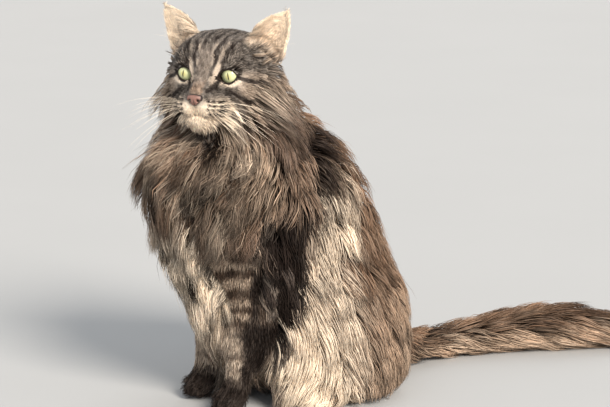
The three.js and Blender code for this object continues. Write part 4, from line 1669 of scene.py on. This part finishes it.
class CatCoatSettings(bpy.types.PropertyGroup):
    """How many hairs each part of the coat has, and how thick they are."""

    seed: count_setting("Seed", "Start of the pattern of chance in the coat", 7, 0, 9999)
    hair: length_setting("Hair", "Thickness of a long hair at its middle", 0.00125, 0.0003, 0.003)
    face_hair: length_setting("Face hair", "Thickness of a hair on the face", 0.0006, 0.0002, 0.002)
    density: bpy.props.FloatProperty(
        name="Density",
        description="Share of the usual count of hairs",
        default=1.0,
        min=0.05,
        max=1.1,
        subtype="FACTOR",
    )
    whiskers: count_setting("Whiskers", "Whiskers on each side of the muzzle", 16, 4, 40)


class CatFaceSettings(bpy.types.PropertyGroup):
    """Sizes and colours of the eyes and nose."""

    radius: length_setting("Eye radius", "Radius of an eyeball", EYE_RADIUS * MM, 0.005, 0.02)
    pupil: length_setting("Pupil", "Width of the pupil's slit", 0.0012, 0.0005, 0.01)
    iris: colour_setting("Iris", "Pale yellow-green of the iris", (0.86, 0.87, 0.47))
    colour: colour_setting("Nose", "Brick pink of the nose leather", (0.30, 0.155, 0.12))


class CatStageSettings(bpy.types.PropertyGroup):
    """The studio round the model."""

    floor: colour_setting("Floor", "Colour of the floor", (0.43, 0.43, 0.426))
    lens: bpy.props.FloatProperty(
        name="Lens", description="Focal length in millimetres", default=138.1, min=20, max=400
    )
    distance: length_setting("Distance", "From the camera to the model", 2.6, 0.5, 10)


def settings_of(name):
    """One group of the sidebar's settings."""
    return getattr(bpy.context.scene, "cat_" + name)


def finish_piece(obj, nodes, material):
    """Joins a piece to the model: its body, the nodes it stands for, its finish."""
    obj.data.materials.clear()
    obj.data.materials.append(material)
    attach(obj, "root")
    if nodes:
        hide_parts(*nodes)


class MODEL_OT_cat_skin(bpy.types.Operator):
    """Make the skin that the coat grows on"""

    bl_idname = "model.cat_skin"
    bl_label = "Skin"
    bl_options = {"REGISTER", "UNDO"}

    def execute(self, context):
        skin = make_skin()
        unwrap(skin)
        skin.data.shade_smooth()
        finish_piece(skin, [node for node in FLESH if node != "nose"], skin_material())
        return {"FINISHED"}


class MODEL_OT_cat_eyes(bpy.types.Operator):
    """Make both eyes"""

    bl_idname = "model.cat_eyes"
    bl_label = "Eyes"
    bl_options = {"REGISTER", "UNDO"}

    def execute(self, context):
        settings = settings_of("face")
        material = eye_material(settings)
        for side, sign in SIDES.items():
            eye = make_eye("eyeball_" + side, sign, settings)
            finish_piece(eye, ["eye_" + side], material)
        return {"FINISHED"}


class MODEL_OT_cat_nose(bpy.types.Operator):
    """Make the nose leather"""

    bl_idname = "model.cat_nose"
    bl_label = "Nose"
    bl_options = {"REGISTER", "UNDO"}

    def execute(self, context):
        finish_piece(make_nose(), ["nose"], nose_material(settings_of("face")))
        return {"FINISHED"}


# How the locks of each part lie, where that isn't long_coat's own way
RUFF = dict(cling=0.1, drop=0.05, lock=14, pull=0.84, wave_size=7.0, tone=0.27, patch=0.1)
CHEST = dict(cling=0.12, drop=0.1, lock=14, pull=0.82, wave_size=3.5, tone=0.16, patch=0.2)
FLANK = dict(cling=0.3, lock=11, pull=0.75, wave_size=3, tone=0.09, patch=0.04, grain=0.06, puff=0.5)
HAUNCH = dict(cling=0.35, drop=0.08, lock=9, pull=0.5, tone=0.04, patch=0.04, grain=0.05, puff=0.3)
BACK = dict(cling=0.3, drop=0.05, lock=8, pull=0.5)
HEAD = dict(cling=0.5, drop=0.03, lock=5, pull=0.28, wave_size=0.8, tone=0.1)
TAIL = dict(cling=0.3, drop=0.04, lock=8, pull=0.5)
# Each long-haired piece: hairs, thickness as a share of a long hair's, and how its locks lie
LONG = {
    "head": (5400, 0.6, HEAD),
    "ruff_left": (6050, 0.9, RUFF),
    "ruff_right": (6050, 0.9, RUFF),
    "chest": (4800, 0.9, CHEST),
    "back": (6500, 0.9, BACK),
    "flank_left": (4300, 0.9, FLANK),
    "flank_right": (4300, 0.9, FLANK),
    "haunch_left": (5100, 0.76, HAUNCH),
    "haunch_right": (5100, 0.76, HAUNCH),
    "tail": (5200, 0.95, TAIL),
}
# Each short-haired piece: hairs, thickness as a share of a face hair's, and how they lie
SHORT = {
    "face": (15800, 1.0, dict(keep=lambda h: ~is_bare(h))),
    "ears": (4600, 0.9, dict(tone=0.08)),
    "paws": (3800, 1.25, dict(tone=0.1)),
    "legs": (10200, 1.25, dict(rise=0.25, length=0.6, tone=0.08)),
}


def grow(*regions):
    """Grows pieces of the coat, each from a pattern of chance of its own."""
    settings = settings_of("coat")
    for region in regions:
        rng = np.random.default_rng(settings.seed + REGIONS.index(region))
        make, table, hair = short_coat, SHORT, settings.face_hair
        if region in LONG:
            make, table, hair = long_coat, LONG, settings.hair
        count, thick, ways = table[region]
        obj = make(region, int(count * settings.density), hair / MM * thick, rng, **ways)
        finish_piece(obj, [], hair_material(*SOFT_HAIR))


class MODEL_OT_cat_head_coat(bpy.types.Operator):
    """Grow the coat of the face, head and ears"""

    bl_idname = "model.cat_head_coat"
    bl_label = "Head coat"
    bl_options = {"REGISTER", "UNDO"}

    def execute(self, context):
        grow("face", "head", "ears")
        return {"FINISHED"}


class MODEL_OT_cat_ruff_coat(bpy.types.Operator):
    """Grow the ruff and the chest's locks"""

    bl_idname = "model.cat_ruff_coat"
    bl_label = "Ruff and chest"
    bl_options = {"REGISTER", "UNDO"}

    def execute(self, context):
        grow("ruff_left", "ruff_right", "chest")
        return {"FINISHED"}


class MODEL_OT_cat_body_coat(bpy.types.Operator):
    """Grow the coat of the back, flanks and haunches"""

    bl_idname = "model.cat_body_coat"
    bl_label = "Body coat"
    bl_options = {"REGISTER", "UNDO"}

    def execute(self, context):
        grow("back", "flank_left", "flank_right", "haunch_left", "haunch_right")
        return {"FINISHED"}


class MODEL_OT_cat_leg_coat(bpy.types.Operator):
    """Grow the coat of the legs and paws"""

    bl_idname = "model.cat_leg_coat"
    bl_label = "Leg coat"
    bl_options = {"REGISTER", "UNDO"}

    def execute(self, context):
        grow("legs", "paws")
        return {"FINISHED"}


class MODEL_OT_cat_tail_coat(bpy.types.Operator):
    """Grow the tail's plume"""

    bl_idname = "model.cat_tail_coat"
    bl_label = "Tail coat"
    bl_options = {"REGISTER", "UNDO"}

    def execute(self, context):
        grow("tail")
        return {"FINISHED"}


class MODEL_OT_cat_whiskers(bpy.types.Operator):
    """Make the whiskers and the ears' long hairs"""

    bl_idname = "model.cat_whiskers"
    bl_label = "Whiskers and ear hair"
    bl_options = {"REGISTER", "UNDO"}

    def execute(self, context):
        settings = settings_of("coat")
        rng = np.random.default_rng(settings.seed + 100)
        whiskers = make_whiskers(rng, settings.whiskers)
        finish_piece(whiskers, [], hair_material(*STIFF_HAIR))
        finish_piece(make_ear_hair(rng, 210, 22), [], hair_material(*SOFT_HAIR))
        return {"FINISHED"}


def sunlight(name, place, aim, power, angle, colour=(1, 1, 1)):
    """A light that shines from one place to another, its shadows softer the wider its angle."""
    data = bpy.data.lights.new(name, "SUN")
    data.energy = power
    data.color = colour
    data.angle = angle
    obj = bpy.data.objects.new(name, data)
    bpy.context.scene.collection.objects.link(obj)
    obj.location = place
    obj.rotation_euler = (Vector(aim) - Vector(place)).to_track_quat("-Z", "Y").to_euler()


# Where the picture was taken from, in degrees round the model and above the floor; then the middle
# of its frame and the model's own zero, both in picture points, and picture points to a millimetre
CAMERA_TURN, CAMERA_RISE = 55.0, 12.0
FRAME_MIDDLE, ZERO_AT, SCALE = (305.0, 203.5), (285.0, 391.0), 0.9


def set_camera(settings):
    """Sets the camera; gives its right and forward directions and the place it looks at."""
    turn, rise = math.radians(CAMERA_TURN), math.radians(CAMERA_RISE)
    right = np.array((math.cos(turn), math.sin(turn), 0))
    level = np.array((-math.sin(turn), math.cos(turn), 0))
    ahead = level * math.cos(rise) - np.array((0, 0, math.sin(rise)))
    up = np.cross(right, ahead)
    look = right * (FRAME_MIDDLE[0] - ZERO_AT[0]) / SCALE
    look = look + up * (ZERO_AT[1] - FRAME_MIDDLE[1]) / SCALE
    look = (look - BODY_SHIFT) * MM
    data = bpy.data.cameras.new("camera")
    data.lens = settings.lens
    data.sensor_width = 36
    data.clip_end = 100
    camera = bpy.data.objects.new("camera", data)
    bpy.context.scene.collection.objects.link(camera)
    camera.location = look - ahead * settings.distance
    camera.rotation_euler = Vector(ahead).to_track_quat("-Z", "Y").to_euler()
    bpy.context.scene.camera = camera
    return right, ahead, look


class MODEL_OT_cat_stage(bpy.types.Operator):
    """Make the floor, light and camera"""

    bl_idname = "model.cat_stage"
    bl_label = "Stage"
    bl_options = {"REGISTER", "UNDO"}

    def execute(self, context):
        settings = settings_of("stage")
        bm = bmesh.new()
        bmesh.ops.create_grid(bm, x_segments=2, y_segments=2, size=20.0)
        mesh = bpy.data.meshes.new("floor")
        bm.to_mesh(mesh)
        bm.free()
        floor = new_object("floor", mesh)
        mesh.materials.append(floor_material(settings))
        floor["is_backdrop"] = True
        right, ahead, look = set_camera(settings)
        back, up = -np.array((ahead[0], ahead[1], 0)), np.array((0, 0, 1.0))
        aim = look + up * 0.05
        warm, cool = (1, 0.93, 0.84), (0.86, 0.93, 1)
        sunlight("key", aim + right * 1.0 + back * 1.8 + up * 1.45, aim, 4.7, 0.4, warm)
        sunlight("fill", aim - right * 1.6 + back * 1.6 + up * 0.9, aim, 0.55, 1.5, cool)
        sunlight("rim", aim + right * 1.0 - back * 1.7 + up * 1.5, aim, 0.9, 0.8)
        world = bpy.data.worlds.new("studio")
        world.use_nodes = True
        sky = world.node_tree.nodes["Background"]
        sky.inputs[0].default_value = (0.86, 0.9, 0.95, 1)
        sky.inputs[1].default_value = 0.6
        bpy.context.scene.world = world
        bpy.context.scene.view_settings.view_transform = "Standard"
        return {"FINISHED"}


PIECES = (
    MODEL_OT_cat_skin,
    MODEL_OT_cat_eyes,
    MODEL_OT_cat_nose,
    MODEL_OT_cat_head_coat,
    MODEL_OT_cat_ruff_coat,
    MODEL_OT_cat_body_coat,
    MODEL_OT_cat_leg_coat,
    MODEL_OT_cat_tail_coat,
    MODEL_OT_cat_whiskers,
    MODEL_OT_cat_stage,
)
SETTINGS = {"coat": CatCoatSettings, "face": CatFaceSettings, "stage": CatStageSettings}


class VIEW3D_PT_cat_model(bpy.types.Panel):
    """The model's pieces, in the order they are made"""

    bl_label = "Longhaired cat"
    bl_space_type = "VIEW_3D"
    bl_region_type = "UI"
    bl_category = "Model"

    def draw(self, context):
        for piece in PIECES:
            self.layout.operator(piece.bl_idname)
        for group in SETTINGS:
            box = self.layout.box()
            settings = settings_of(group)
            for key in settings.__annotations__:
                box.prop(settings, key)


CLASSES = (*SETTINGS.values(), *PIECES, VIEW3D_PT_cat_model)


def register():
    """Makes the operators, the panel and the settings known."""
    for item in CLASSES:
        bpy.utils.register_class(item)
    for name, group in SETTINGS.items():
        setattr(bpy.types.Scene, "cat_" + name, bpy.props.PointerProperty(type=group))


def unregister():
    """Takes them away again."""
    for name in SETTINGS:
        delattr(bpy.types.Scene, "cat_" + name)
    for item in reversed(CLASSES):
        bpy.utils.unregister_class(item)


def main():
    """Makes every piece in order."""
    register()
    for piece in PIECES:
        group, name = piece.bl_idname.split(".")
        getattr(getattr(bpy.ops, group), name)()
    sizes = {"cad": CAD_BOUNDS, "visual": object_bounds()}
    sizes = {key: [[float(v) for v in corner] for corner in box] for key, box in sizes.items()}


if __name__ == "__main__":
    main()
